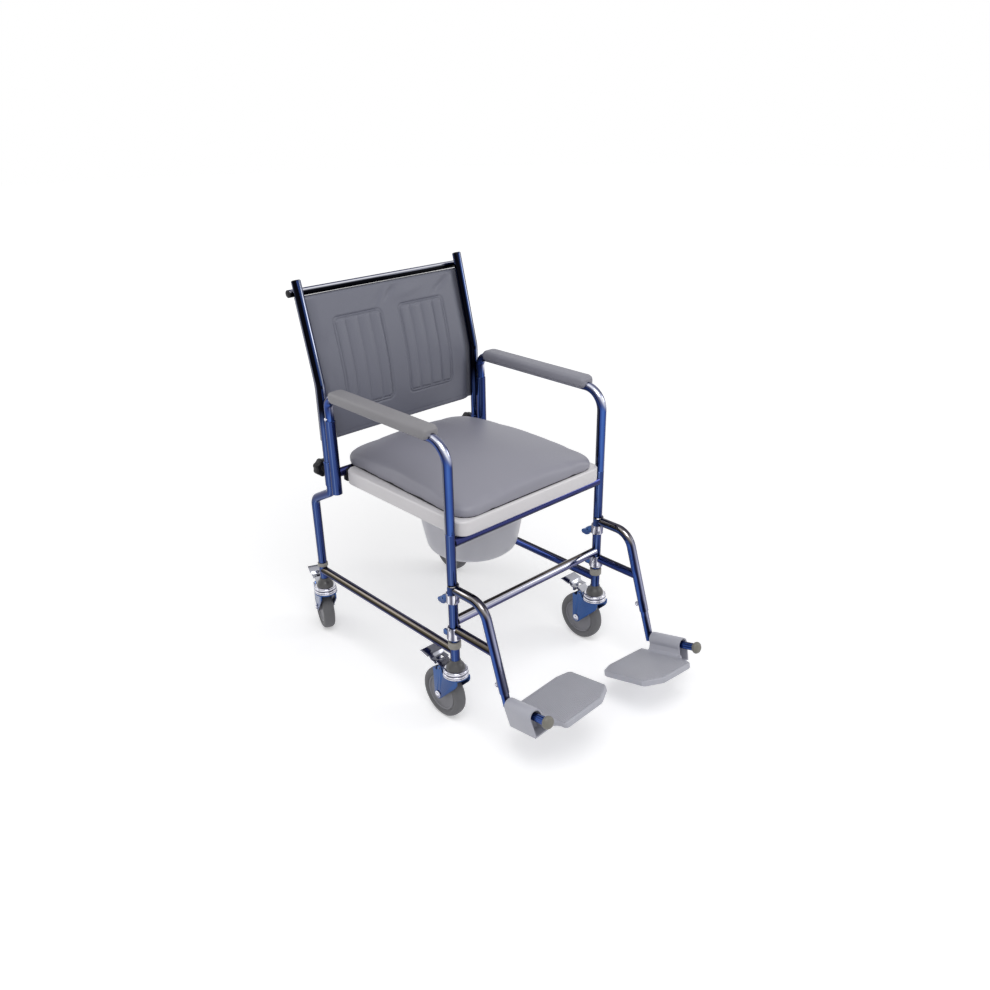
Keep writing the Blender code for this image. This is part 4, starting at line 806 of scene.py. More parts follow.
# %% Rails and cross tubes, whose ends run into the legs
RAIL_BITE, CROSS_BITE = 0.004, 0.0080
for side, sign in SIDES.items():
    x = sign * HALF_WIDTH
    rail = tube([(x, FRONT_Y + RAIL_BITE, RAIL_Z), (x, REAR_Y - RAIL_BITE, RAIL_Z)], rim=0)
    add_piece(rail, f"rail_{side}", rail_chrome[side], "chrome", "frame", f"side_rail_{side}")
reach = HALF_WIDTH - CROSS_BITE
for name, y, z, node, look in (
        ("tube_lower_cross", FRONT_Y, CROSS_Z, "lower_cross_tube", cross_chrome),
        ("tube_seat_front", FRONT_Y, SEAT_TUBE_Z, "seat_front_tube", seat_chrome),
        ("tube_seat_rear", RECEIVER_Y, REAR_TUBE_Z, "seat_rear_tube", seat_chrome)):
    add_piece(tube([(-reach, y, z), (reach, y, z)], rim=0), name, look, "chrome", "frame", node)
made_so_far = [thing.name for thing in bpy.data.objects]
print("frame tubes:", sum(name.startswith(("leg_", "rail_", "tube_")) for name in made_so_far))

# %% [markdown]
# ## Seat tray, brackets and pan
#
# The tray is one moulding with soft corners. Its solid is already right, so a copy of it is
# cleaned and its edges are rounded. The pan is round, so it is turned from its outline, with
# more facets than the solid and a rolled rim. Two bent brackets hold the tray's rear edge.

# %% Tray and brackets
SEAT_LOW_Z, SEAT_TOP_Z = 0.4764, 0.5114
SEAT_REAR_Y = FRONT_Y + 0.408
BRACKET_X, BRACKET_HALF, CLIP_HALF, CLIP_OUT = 0.190, 0.012, 0.008, 0.016
STRAP_Z = (SEAT_LOW_Z - 0.0033, SEAT_LOW_Z - 0.0004)
TAB_Y = (RECEIVER_Y - 0.0125, RECEIVER_Y - 0.0095)
tray = from_cad("commode_seat", 0.0009, 2, 25)
add_piece(tray, "seat_tray", tray_white, "seat_plastic", "frame", "commode_seat", sharp=28)
for side, sign in SIDES.items():
    x = sign * BRACKET_X
    strap = block((x - BRACKET_HALF, SEAT_REAR_Y - 0.030, STRAP_Z[0]),
                  (x + BRACKET_HALF, RECEIVER_Y - 0.002, STRAP_Z[1]))
    tab = block((x - BRACKET_HALF, TAB_Y[0], STRAP_Z[0]), (x + BRACKET_HALF, TAB_Y[1], REAR_TUBE_Z))
    add_piece(softened(gathered(strap, tab), 0.0006), f"seat_bracket_{side}", fork_blue, "chrome",
              "frame")
    clip_x = x + sign * CLIP_OUT
    clip = block((clip_x - CLIP_HALF, SEAT_REAR_Y + 0.0008, SEAT_LOW_Z - 0.002),
                 (clip_x + CLIP_HALF, RECEIVER_Y + 0.004, SEAT_TOP_Z - 0.004))
    add_piece(softened(clip, 0.003, 3), f"tray_clip_{side}", black, "black_plastic", "frame")
low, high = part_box("commode_seat")
print("tray (mm):", [round(1000 * size) for size in high - low])

# %% Pan: up its outside, over the rolled rim and down its inside
PAN_Y, PAN_FOOT_Z, PAN_FLOOR_Z, RIM_Z = FRONT_Y + 0.202, 0.2992, 0.3020, 0.4672
PAN_MOUTH_R, PAN_WALL = 0.1325, 0.0026
outside = [(0, PAN_FOOT_Z), (0.069, PAN_FOOT_Z), (0.088, 0.3006), (0.0995, 0.3050),
           (0.1075, 0.3115), (0.1118, 0.3195), (0.1165, 0.3400), (0.1212, 0.3650),
           (0.1256, 0.3900), (0.1290, 0.4200), (0.1314, 0.4480), (PAN_MOUTH_R, RIM_Z)]
rim = [(0.1400, RIM_Z), (0.1470, RIM_Z + 0.0003), (0.1479, RIM_Z + 0.0015),
       (0.1470, RIM_Z + 0.0028), (0.1340, RIM_Z + 0.0030), (0.1306, RIM_Z + 0.0022)]
inside = [(radius - PAN_WALL, height + 0.0008) for radius, height in outside[-2:4:-1]]
inside += [(0.1050, 0.3136), (0.0984, 0.3078), (0.0874, 0.3034), (0.068, PAN_FLOOR_Z),
           (0, PAN_FLOOR_Z)]
pan = turned(outside + rim + inside, put(0, PAN_Y), 72)
add_piece(pan, "pan_bowl", pan_milk, "pan_plastic", "pan", "pan", sharp=50)
print("pan", round(2000 * PAN_MOUTH_R), "mm wide at the mouth,",
      round(1000 * (RIM_Z - PAN_FOOT_Z)), "mm deep")

# %% [markdown]
# ## Castors
#
# A braked castor is a pressed steel fork under a double bearing ring, a rubber tyre on a moulded
# centre, an axle bolt with its nut, and a two-level pedal behind. The fork and pedal are pressed
# sheet with real bends, so their solids are copied and softened. The rest is round and is turned.
# All four are made in the frame of the swivel axis and then put in place.

# %% Measures of a castor
WHEEL_R, TRAIL = 0.0625, 0.043
CASTOR_TURN = {"front_right": 0, "front_left": 0, "rear_right": -20, "rear_left": 0}


def castor_place(corner):
    end, side = corner.split("_")
    spot = put(SIDES[side] * HALF_WIDTH, FRONT_Y if end == "front" else REAR_Y)
    return spot @ Matrix.Rotation(radians(CASTOR_TURN[corner]), 4, "Z")


def on_axle(corner):
    """From an outline about Z to the wheel's axle."""
    return castor_place(corner) @ put(0, TRAIL, WHEEL_R) @ quarter("Y")


# %% Outlines of the castor's round pieces
CONE = [(0, 0.1480), (0.0216, 0.1480), (0.0222, 0.1490), (0.0220, 0.1515), (0.0212, 0.1548),
        (0.0197, 0.1582), (0.0174, 0.1614), (0.0150, 0.1640), (0.0134, 0.1664), (0.0128, 0.1692),
        (0.0124, 0.1713), (0.0118, 0.1718), (0, 0.1718)]
UPPER_RING = [(0, 0.1401), (0.0270, 0.1401), (0.0282, 0.1412), (0.0286, 0.1430), (0.0286, 0.1450),
              (0.0280, 0.1466), (0.0264, 0.1480), (0.0240, 0.1486), (0, 0.1486)]
LOWER_RING = [(0.010, 0.1312), (0.0295, 0.1312), (0.0298, 0.1320), (0.0296, 0.1334),
              (0.0287, 0.1343), (0.0294, 0.1354), (0.0296, 0.1368), (0.0292, 0.1384),
              (0.0287, 0.1393), (0.0272, 0.1397), (0.010, 0.1397)]
TYRE = [(0.0443, -0.0125), (0.0455, -0.0140), (0.0468, -0.0143), (0.0474, -0.0137),
        (0.0482, -0.0144), (0.0530, -0.0150), (0.0572, -0.0142), (0.0602, -0.0118),
        (0.0620, -0.0070), (0.0625, 0.0)]
TYRE += [(radius, -across) for radius, across in TYRE[-2::-1]]
HUB = [(0.0042, -0.0176), (0.0100, -0.0176), (0.0108, -0.0168), (0.0116, -0.0110),
       (0.0150, -0.0096), (0.0330, -0.0092), (0.0385, -0.0102), (0.0400, -0.0128),
       (0.0432, -0.0130), (0.0438, -0.0122)]
HUB += [(radius, -across) for radius, across in HUB[::-1]]

# %% Axle with its bolt head, washer and nut
AXLE_END, AXLE_R, WASHER_R, WASHER_THICK = 0.0213, 0.0040, 0.0088, 0.0009
NUT_R, NUT_LOW, NUT_TALL = 0.0072, 0.0008, 0.0036
HEAD = [(radius, -AXLE_END - beyond) for radius, beyond in (
    (0, 0.0046), (AXLE_R, 0.0042), (0.0060, 0.0028), (0.0060, 0.0014), (WASHER_R, 0.0009),
    (0.0085, 0), (0, 0))]
AXLE = [(0, -AXLE_END), (AXLE_R, -AXLE_END), (AXLE_R, AXLE_END), (0, AXLE_END)]
WASHER = [(0, AXLE_END), (WASHER_R, AXLE_END), (WASHER_R, AXLE_END + WASHER_THICK),
          (0, AXLE_END + WASHER_THICK)]


def axle_set(axle):
    nut = bmesh.new()
    bmesh.ops.create_circle(nut, cap_ends=True, segments=6, radius=NUT_R)
    grown = bmesh.ops.extrude_face_region(nut, geom=list(nut.faces))
    bmesh.ops.translate(nut, verts=new_verts(grown), vec=(0, 0, NUT_TALL))
    nut.transform(axle @ put(0, 0, AXLE_END + NUT_LOW))
    return gathered(turned(HEAD, axle, 32), turned(AXLE, axle, 24), softened(nut, 0.0006),
                    turned(WASHER, axle, 32))


# %% Build the castors
for corner in CASTOR_TURN:
    upright, axle = castor_place(corner), on_axle(corner)
    fork, wheel, brake = f"fork_{corner}", f"wheel_{corner}", f"brake_{corner}"
    pressed = from_cad(f"castor_fork_{corner}", 0.0007, 2, 25)
    pedal = from_cad(f"castor_pedal_{corner}", 0.0005, 2, 25)
    for bm, name, look, slot, body, node, sharp in (
            (turned(CONE, upright), "stem_cone", cone_grey, "hub_plastic", "frame", "cup", 50),
            (turned(UPPER_RING, upright), "upper_ring", bright, "chrome", "frame", None, 60),
            (pressed, "fork", fork_blue, "zinc", fork, "fork", 30),
            (turned(LOWER_RING, upright), "lower_ring", bright, "chrome", fork, None, 60),
            (turned(TYRE, axle, 72), "tyre", tyre_grey, "tyre_rubber", wheel, "tyre", 50),
            (turned(HUB, axle, 56), "hub", hub_grey, "hub_plastic", wheel, "hub", 30),
            (pedal, "pedal", pedal_bright, "chrome", brake, "pedal", 30),
            (axle_set(axle), "axle", bright, "zinc", fork, "axle", 35)):
        stands_for = [f"castor_{node}_{corner}"] if node else []
        add_piece(bm, f"{name}_{corner}", look, slot, body, *stands_for, sharp=sharp)
print("castors on", list(CASTOR_TURN))

# %% [markdown]
# ## Arms
#
# Each arm is a hoop of tube with a long skinned-foam pad clipped on its level run. Its rear post
# slides in the receiver and is held by a sprung button. The pad is a bar whose long edges are
# rounded and whose ends are drawn in; a block with a few cuts near its ends gives all of that.

# %% Tube hoops and snap buttons
POST_Z = RECEIVER_Z[1] - 0.100
BUTTON_Z = RECEIVER_Z[1] + 0.0045 + GAP
HOOP_BENDS = (0.050, 0.024)
FACE = TUBE_R + 0.0025
BUTTON = [(0, FACE - 0.008), (0.0044, FACE - 0.008), (0.0044, FACE - 0.0012),
          (0.0036, FACE - 0.0003), (0.0020, FACE), (0, FACE)]
for side, sign in SIDES.items():
    x = sign * HALF_WIDTH
    hoop = tube([(x, FRONT_Y, ARM_JOINT_Z + GAP), (x, FRONT_Y, ARM_Z), (x, RECEIVER_Y, ARM_Z),
                 (x, RECEIVER_Y, POST_Z)], HOOP_BENDS)
    spigot = tube([(x, FRONT_Y, ARM_JOINT_Z - SPIGOT_LENGTH), (x, FRONT_Y, ARM_JOINT_Z + 0.004)],
                  radius=SPIGOT_R)
    add_piece(gathered(hoop, spigot), f"arm_hoop_{side}", arm_chrome, "chrome", f"arm_{side}",
              f"arm_tube_{side}")
    button = turned(BUTTON, put(x, RECEIVER_Y, BUTTON_Z) @ quarter("Y", sign), 28)
    add_piece(button, f"arm_button_{side}", bright, "zinc", f"button_{side}",
              f"snap_button_{side}")

# %% Arm pads
PAD_HALF, PAD_LOW, PAD_TALL, PAD_ROUND = 0.022, ARM_Z - 0.0035, 0.027, 0.0095
PAD_FRONT_Y, PAD_REAR_Y = FRONT_Y + 0.044, RECEIVER_Y - 0.030
PAD_CUTS = (PAD_FRONT_Y + 0.013, PAD_FRONT_Y + 0.005, PAD_REAR_Y - 0.012, PAD_REAR_Y - 0.004)
PAD_SLICES = ((PAD_FRONT_Y, 0.66, 0.62), (PAD_FRONT_Y + 0.005, 0.88, 0.86),
              (PAD_REAR_Y - 0.004, 0.95, 0.93), (PAD_REAR_Y, 0.80, 0.78))
for side, sign in SIDES.items():
    x = sign * HALF_WIDTH
    pad = block((x - PAD_HALF, PAD_FRONT_Y, PAD_LOW),
                (x + PAD_HALF, PAD_REAR_Y, PAD_LOW + PAD_TALL))
    rounded(pad, [edge for edge in pad.edges
                  if abs(edge.verts[0].co.y - edge.verts[1].co.y) > 0.1], PAD_ROUND, 5)
    for y in PAD_CUTS:
        bmesh.ops.bisect_plane(pad, geom=pad.verts[:] + pad.edges[:] + pad.faces[:], dist=1e-6,
                               plane_co=(0, y, 0), plane_no=(0, 1, 0))
    centre = Vector((x, 0, PAD_LOW + PAD_TALL * 0.45))
    for y, wide, tall in PAD_SLICES:
        slice_verts = [vert for vert in pad.verts if abs(vert.co.y - y) < 1e-4]
        bmesh.ops.scale(pad, verts=slice_verts, vec=(wide, 1, tall),
                        space=Matrix.Translation(-centre))
    made = add_piece(softened(pad, 0.0012, 2, 22), f"arm_rest_{side}", pad_skin[side], "arm_foam",
                     f"arm_{side}", f"arm_pad_{side}", sharp=60)
print("arm pads", round(1000 * (PAD_REAR_Y - PAD_FRONT_Y)), "mm long")

# %% [markdown]
# ## Leg rests
#
# A leg rest hangs on the front leg by two collars, so that it can swing aside. Its bent tube rakes
# down and forwards, a brace joins it to the lower collar, and a release lever sits behind the
# upper one. The inner tube slides in it to suit the leg, and carries the footplate's bar.

# %% Measures of a leg rest
KNEE_Y, HANGER_TOP_Z, HANGER_END_Z = FRONT_Y - 0.099, 0.356, 0.163
RAKE, KNEE_BEND = radians(17.7), 0.048
BRACE_Z, WALL_MIDDLE_R = 0.252, 0.0103
UPPER_COLLAR, LOWER_COLLAR = (0.322, 0.346), (0.229, 0.2585)
COLLAR_R, SADDLE_TOP_Z = 0.0150, 0.3671
SWING_R = TUBE_R + 0.0004
LATCH, LATCH_FOOT_Y = Vector((0, FRONT_Y + 0.026, 0.324)), FRONT_Y + TUBE_R + 0.001
LEVER_HALF, CHEEK_THICK = 0.0045, 0.003

# %% Outlines of its collars, its latch and its screw
FLARE_Z, FLARE_TOP_Z = LOWER_COLLAR
FLARED_COLLAR = [(SWING_R, FLARE_Z), (0.0160, FLARE_Z), (0.0170, FLARE_Z + 0.001),
                 (0.0170, FLARE_Z + 0.006), (0.0156, FLARE_Z + 0.010),
                 (COLLAR_R, FLARE_TOP_Z - 0.001), (COLLAR_R - 0.001, FLARE_TOP_Z),
                 (SWING_R, FLARE_TOP_Z)]
SADDLE = [(SWING_R, UPPER_COLLAR[1] - 0.001), (COLLAR_R, UPPER_COLLAR[1] - 0.001),
          (COLLAR_R, 0.3655), (COLLAR_R - 0.0012, SADDLE_TOP_Z), (SWING_R, SADDLE_TOP_Z)]
CHEEK = [(LATCH_FOOT_Y, UPPER_COLLAR[0]), (LATCH.y, LATCH.z - 0.012),
         (LATCH.y + 0.0060, LATCH.z - 0.0035), (LATCH.y + 0.0060, LATCH.z + 0.0035),
         (LATCH.y, LATCH.z + 0.007), (LATCH_FOOT_Y, UPPER_COLLAR[1] - 0.006)]
SCREW = [(0, 0.0), (0.0030, 0.0), (0.0030, 0.0042), (0.0060, 0.0042), (0.0064, 0.0050),
         (0.0064, 0.0095), (0.0052, 0.0112), (0, 0.0115)]


def raked(z):
    """Point on the hanger's raked axis at a height, in the plane of the legs."""
    return Vector((0, KNEE_Y - (HANGER_TOP_Z - z) * tan(RAKE), z))


# %% Hangers
# The brace is open where it runs into the hanger, and ends inside the hanger's wall.
for side, sign in SIDES.items():
    across = Vector((sign * HALF_WIDTH, 0, 0))
    at_leg = put(across.x, FRONT_Y)
    start = across + Vector((0, FRONT_Y - TUBE_R - GAP, HANGER_TOP_Z))
    knee = across + Vector((0, KNEE_Y, HANGER_TOP_Z))
    hanger = tube([start, knee, across + raked(HANGER_END_Z)], (KNEE_BEND,), rim=0.0005)
    brace = tube([across + Vector((0, FRONT_Y - COLLAR_R + 0.001, BRACE_Z)),
                  across + raked(BRACE_Z)], radius=TUBE_R - 0.0005, rim=0)
    mouth = [vert for vert in brace.verts if vert.co.y < raked(BRACE_Z).y + 0.001]
    hidden = [face for face in brace.faces if all(vert in mouth for vert in face.verts)]
    bmesh.ops.delete(brace, geom=hidden, context="FACES_ONLY")
    for vert in mouth:
        bite = sqrt(max(WALL_MIDDLE_R ** 2 - (vert.co.x - across.x) ** 2, 0.0)) / cos(RAKE)
        vert.co.y = raked(vert.co.z).y + bite
    collars = gathered(turned(sleeve(SWING_R, COLLAR_R, UPPER_COLLAR), at_leg),
                       turned(FLARED_COLLAR, at_leg))
    saddle = turned(SADDLE, at_leg @ Matrix.Rotation(pi, 4, "Z"), 24, pi)
    rest = f"leg_rest_{side}"
    add_piece(gathered(hanger, saddle), f"hanger_tube_{side}", hanger_chrome, "chrome", rest,
              f"hanger_{side}")
    add_piece(brace, f"hanger_brace_{side}", rail_chrome[side], "chrome", rest)
    add_piece(collars, f"hanger_collars_{side}", collar_bright, "chrome", rest, sharp=50)

# %% Latch cheeks, lever and clamp screw
for side, sign in SIDES.items():
    x = sign * HALF_WIDTH
    cheeks = [softened(plate(CHEEK, x + low_x, x + low_x + CHEEK_THICK, "X"), 0.0007)
              for low_x in (-LEVER_HALF - CHEEK_THICK - GAP, LEVER_HALF + GAP)]
    foot = block((x - 0.004, FRONT_Y + TUBE_R + 0.002, FLARE_Z - 0.003),
                 (x + 0.004, LATCH.y + 0.008, FLARE_Z + 0.010))
    add_piece(gathered(*cheeks, softened(foot, 0.0015, 3)), f"latch_cheeks_{side}", fork_blue,
              "chrome", f"leg_rest_{side}")
    add_piece(from_cad(f"release_lever_{side}", 0.0012, 3, 25), f"lever_{side}", fork_blue, "zinc",
              f"lever_{side}", f"release_lever_{side}")
    seat = raked(HANGER_END_Z + 0.012) + Vector((x, 0.0104, 0))
    add_piece(turned(SCREW, Matrix.Translation(seat) @ quarter("X", -1), 28),
              f"clamp_screw_{side}", bright, "zinc", f"leg_rest_{side}", f"clamp_bolt_{side}")

# %% [markdown]
# The footplate turns on a bar at the end of the inner tube. The bar's frame is tilted and turned
# a little, differently on each side, because the two rests in the picture are set at different
# lengths. The bar's front end is ribbed steel with a mushroom-shaped cap.

# %% Frame of each footplate's bar
INNER_R, BAR_R, BAR_LENGTH = 0.0095, 0.0080, 0.1325
INNER_GRIP = {"right": 0.110, "left": 0.063}
FOOTREST_DROP = {"right": 0.1396, "left": 0.0950}
FOOTREST_TURN = {"right": 6.0, "left": 1.0}
PLATE_TILT = {"right": 7.0, "left": 4.5}
BAR_PITCH = radians(14.0)


def bar_frame(side, sign):
    """X inboard on the right side, Y rearwards along the bar, Z up."""
    pivot = raked(FOOTREST_DROP[side]) + Vector((sign * HALF_WIDTH, 0, 0))
    down_tube = Vector((0, sin(RAKE), cos(RAKE)))
    spin = Matrix.Rotation(sign * radians(FOOTREST_TURN[side]), 4, down_tube)
    return Matrix.Translation(pivot) @ spin @ Matrix.Rotation(-BAR_PITCH, 4, "X")


# %% Inner tubes, ribbed bars and caps
RIBS_FROM, RIBS_LENGTH, RIB_HEIGHT, VALLEY = 0.0785, 0.0535, 0.0011, 0.90
BAR_CAP = [(0, 0), (0.0098, 0), (0.0100, 0.0024), (0.0128, 0.0033), (0.0140, 0.0050),
           (0.0143, 0.0072), (0.0139, 0.0096), (0.0124, 0.0122), (0.0098, 0.0142),
           (0.0064, 0.0152), (0.0030, 0.0155), (0, 0.0155)]
for side, sign in SIDES.items():
    across = Vector((sign * HALF_WIDTH, 0, 0))
    foot = raked(FOOTREST_DROP[side] - BAR_R + 0.002) + across
    up = (raked(HANGER_END_Z) + across - foot).normalized()
    inner = tube([foot, raked(HANGER_END_Z) + across + up * INNER_GRIP[side]], radius=INNER_R)
    at = bar_frame(side, sign)
    bar = tube([(0, 0, 0), (0, -BAR_LENGTH, 0)], radius=BAR_R, rim=0)
    ribs = bmesh.new()
    bmesh.ops.create_circle(ribs, cap_ends=False, segments=48, radius=BAR_R + RIB_HEIGHT,
                            matrix=put(0, -RIBS_FROM) @ quarter("X"))
    valleys = [vert for index, vert in enumerate(ribs.verts) if index % 4 in (0, 1)]
    bmesh.ops.scale(ribs, verts=valleys, vec=(VALLEY, 1, VALLEY))
    grown = bmesh.ops.extrude_edge_only(ribs, edges=list(ribs.edges))
    bmesh.ops.translate(ribs, verts=new_verts(grown), vec=(0, -RIBS_LENGTH, 0))
    bmesh.ops.holes_fill(ribs, edges=ribs.edges, sides=0)
    for bm in (bar, ribs):
        bm.transform(at)
    add_piece(gathered(inner, bar, ribs), f"footrest_tube_{side}", hanger_chrome, "chrome",
              f"footrest_{side}", f"extension_{side}", sharp=30)
    cap = turned(BAR_CAP, at @ put(0, -BAR_LENGTH - GAP) @ quarter("X"), 44)
    add_piece(cap, f"bar_end_{side}", cap_beige, "plate_plastic", f"footrest_{side}",
              f"bar_cap_{side}", sharp=60)

# %% [markdown]
# The plate itself is a moulding with fine, shallow ribs on its tread, so they are a bump in the
# material. A wave in the plate's own directions needs a Mapping node with the plate's turn, so
# each plate has its own material.

# %% Footplates with a ribbed tread
PLATE_GREY, RIB_PITCH = (0.475, 0.480, 0.540), 0.0050
TREAD_Z, TREAD_EDGE_X = (-0.0240, -0.0222), (0.030, 0.036)


def ribbed_plastic(side, at):
    made, tree, shader, place = finish(f"footplate_plastic_{side}", PLATE_GREY, 0.44, 0.05, 16.0,
                                       0.3, 120.0)
    turn_in = add_node(tree, "ShaderNodeMapping", vector_type="TEXTURE")
    set_inputs(turn_in, Location=at.to_translation(), Rotation=at.to_euler())
    tree.links.new(place, turn_in.inputs["Vector"])
    split = add_node(tree, "ShaderNodeSeparateXYZ")
    tree.links.new(turn_in.outputs["Vector"], split.inputs[0])
    wave = math_node(tree, "SINE", math_node(tree, "MULTIPLY", split.outputs["Y"],
                                             2 * pi / RIB_PITCH))
    tread = between(tree, split.outputs["Z"], *TREAD_Z)
    margin = between(tree, math_node(tree, "ABSOLUTE", split.outputs["X"]), *TREAD_EDGE_X)
    height = math_node(tree, "MULTIPLY", math_node(tree, "MULTIPLY", wave, tread), margin)
    bumped(tree, shader, height, 0.9, 0.0010)
    return made


for side, sign in SIDES.items():
    at = bar_frame(side, sign) @ Matrix.Rotation(sign * radians(PLATE_TILT[side]), 4, "Y")
    add_piece(from_cad(f"footplate_{side}", 0.0014, 3, 24), f"foot_tread_{side}",
              ribbed_plastic(side, at), "plate_plastic", f"plate_{side}", f"footplate_{side}",
              sharp=32)
print("footrests set at", [round(1000 * FOOTREST_DROP[side]) for side in SIDES], "mm")

# %% [markdown]
# ## Seat cushion
#
# The cushion is foam on a thin black board, in a stretched vinyl cover. Modelled by hand it tends
# to look like a slab, so its cover is blown up a little by a cloth simulation: the plain block is
# remeshed into even facets, given air pressure for twenty frames, and stopped before it moves
# further than real foam would let it. The underside is then pressed flat again.

# %% Blow up a cover
FRAMES = 20


def evaluated(thing):
    return bpy.data.meshes.new_from_object(
        thing.evaluated_get(bpy.context.evaluated_depsgraph_get()))


def puffed(bm, voxel, pressure, most):
    """Bmesh of a closed cover swollen by air; no point moves further than most."""
    work = new_object("cover", mesh_of(bm, "cover"))
    work.modifiers.new("even", "REMESH").voxel_size = voxel
    work.data = evaluated(work)
    work.modifiers.clear()
    flat = [vert.co.copy() for vert in work.data.vertices]
    blown = work.data
    air_in = work.modifiers.new("air", "CLOTH")
    air_in.settings.quality = 5
    air_in.settings.use_pressure = True
    air_in.settings.uniform_pressure_force = pressure
    air_in.settings.effector_weights.gravity = 0
    air_in.point_cache.frame_end = FRAMES
    for number in range(1, FRAMES + 1):
        bpy.context.scene.frame_set(number)
    blown = evaluated(work)
    work.modifiers.clear()
    bpy.context.scene.frame_set(1)
    grown = bmesh.new()
    grown.from_mesh(blown)
    furthest = 0
    for vert, was in zip(grown.verts, flat):
        move = vert.co - was
        furthest = max(furthest, move.length)
        if move.length > most:
            vert.co = was + move * (most / move.length)
    bpy.data.objects.remove(work)
    print("cover of", len(flat), "points moved up to", round(1000 * furthest, 1), "mm, held to",
          1000 * most)
    return grown


# %% Cushion on its board
CUSHION_Z = (0.5117, 0.5282)
CUSHION_ENDS = (FRONT_Y - 0.024, FRONT_Y + 0.460)
CUSHION_HALF = (0.222, 0.203)
DOME, EDGE_RISE, DOME_HALF = 0.0225, 0.0135, (0.215, 0.238)


def cushion_outline(inset):
    front, rear = CUSHION_ENDS[0] + inset, CUSHION_ENDS[1] - inset
    wide, narrow = (half - inset for half in CUSHION_HALF)
    return [(-wide, front), (wide, front), (narrow, rear), (-narrow, rear)]


def rounded_block(outline, low, high, corner, top_round, low_round):
    """Plate with round corners, a wide round at its top edge and a small one below."""
    bm = plate(outline, low, high)
    upright = [edge for edge in bm.edges
               if abs(edge.verts[0].co.z - edge.verts[1].co.z) > (high - low) / 2]
    rounded(bm, upright, corner, 12)
    for level, width in ((high, top_round), (low, low_round)):
        rounded(bm, [edge for edge in bm.edges if edge.calc_face_angle(0) > 1 and
                     all(abs(vert.co.z - level) < 1e-6 for vert in edge.verts)], width, 5)
    return bm


cover = puffed(rounded_block(cushion_outline(0.0045), *CUSHION_Z, 0.046, 0.0075, 0.005),
               0.0045, 4.0, 0.0050)
middle = Vector((0, sum(CUSHION_ENDS) / 2, 0))
for vert in cover.verts:
    out_x = min(1.0, abs(vert.co.x) / DOME_HALF[0])
    out_y = min(1.0, abs(vert.co.y - middle.y) / DOME_HALF[1])
    share = limited((vert.co.z - CUSHION_Z[0]) / (CUSHION_Z[1] - CUSHION_Z[0]))
    rise = (DOME * (1 - out_x ** 2) * (1 - out_y ** 2) +
            EDGE_RISE * (1 - (out_x * out_y) ** 1.6))
    vert.co.z = max(vert.co.z + rise * share ** 1.3, CUSHION_Z[0])
for _ in range(3):
    bmesh.ops.smooth_vert(
        cover, verts=[vert for vert in cover.verts if vert.co.z > CUSHION_Z[0] + 0.002],
        factor=0.5, use_axis_x=True, use_axis_y=True, use_axis_z=True)
cushion = add_piece(cover, "cushion_cover", seat_vinyl, "grey_vinyl", "cushion", "seat_cushion",
                    sharp=80)
cushion.modifiers.new("smooth", "SUBSURF").levels = 1
cushion.modifiers["smooth"].render_levels = 1
board = rounded_block(cushion_outline(0.0115), CUSHION_Z[0] + 0.00005, CUSHION_Z[0] + 0.006,
                      0.042, 0.0005, 0.0005)
add_piece(board, "cushion_board", black, "black_plastic", "cushion")
print("cushion top at", round(1000 * max(vert.co.z for vert in cushion.data.vertices), 1), "mm")

# %% [markdown]
# ## Back
#
# The uprights plug into the rear sockets, lean back above the arms, and are joined by a push bar
# behind them. The padded back is stretched over them. Its two embossed panels are heat-sealed
# channels: a double line round each panel and three lines inside it. A fine grid whose points are
# moved by a formula keeps those lines crisp, which a remesh would not; the same formula gives the
# swelling, the hem and the few soft creases that stretched vinyl shows near its top edge.

# %% Uprights and push bar
BEND_Z, BACK_RAKE, BACK_TOP_Z, PUSH_BAR_Z = 0.712, radians(13.7), 0.945, 0.914
PUSH_BAR_R, PUSH_BAR_HALF = 0.0088, 0.257


def upright_axis(z):
    """Y of the uprights' axis at a height."""
    return BACK_Y + max(0.0, z - BEND_Z) * tan(BACK_RAKE)


UPRIGHT_PLUG_END = [(0, -0.004), (0.0104, -0.004), (0.0104, 0.0), (0.0096, 0.0009),
                    (0.0070, 0.0016), (0, 0.0019)]
BAR_PLUG_END = [(0, -0.004), (0.0088, -0.004), (0.0088, 0.0010), (0.0078, 0.0023),
                (0.0050, 0.0033), (0, 0.0035)]
uprights, plugs = [], []
lean = Vector((0, sin(BACK_RAKE), cos(BACK_RAKE)))
onto_lean = lean.to_track_quat("Z", "Y").to_matrix().to_4x4()
for sign in SIDES.values():
    x = sign * HALF_WIDTH
    tip = Vector((x, upright_axis(BACK_TOP_Z), BACK_TOP_Z)) - lean * 0.002
    uprights.append(tube([(x, BACK_Y, SOCKET_Z[1] - UPRIGHT_PLUG), (x, BACK_Y, BEND_Z), tip],
                         (0.060,), rim=0.0006))
    plugs.append(turned(UPRIGHT_PLUG_END, Matrix.Translation(tip) @ onto_lean, 32))
bar_y = upright_axis(PUSH_BAR_Z) + (TUBE_R + PUSH_BAR_R - 2 * GAP) / cos(BACK_RAKE)
reach = PUSH_BAR_HALF - 0.0035
push_bar = tube([(-reach, bar_y, PUSH_BAR_Z), (reach, bar_y, PUSH_BAR_Z)], radius=PUSH_BAR_R,
                rim=0.0006)
for sign in SIDES.values():
    plugs.append(turned(BAR_PLUG_END, put(sign * reach, bar_y, PUSH_BAR_Z) @ quarter("Y", sign),
                        32))
add_piece(gathered(*uprights), "back_uprights", back_chrome, "chrome", "back", "back_frame")
add_piece(push_bar, "push_bar", push_chrome, "chrome", "back")
add_piece(gathered(*plugs), "tube_plugs", black, "black_plastic", "back", sharp=60)
print("push bar", round(2000 * PUSH_BAR_HALF), "mm long at", round(1000 * PUSH_BAR_Z), "mm")

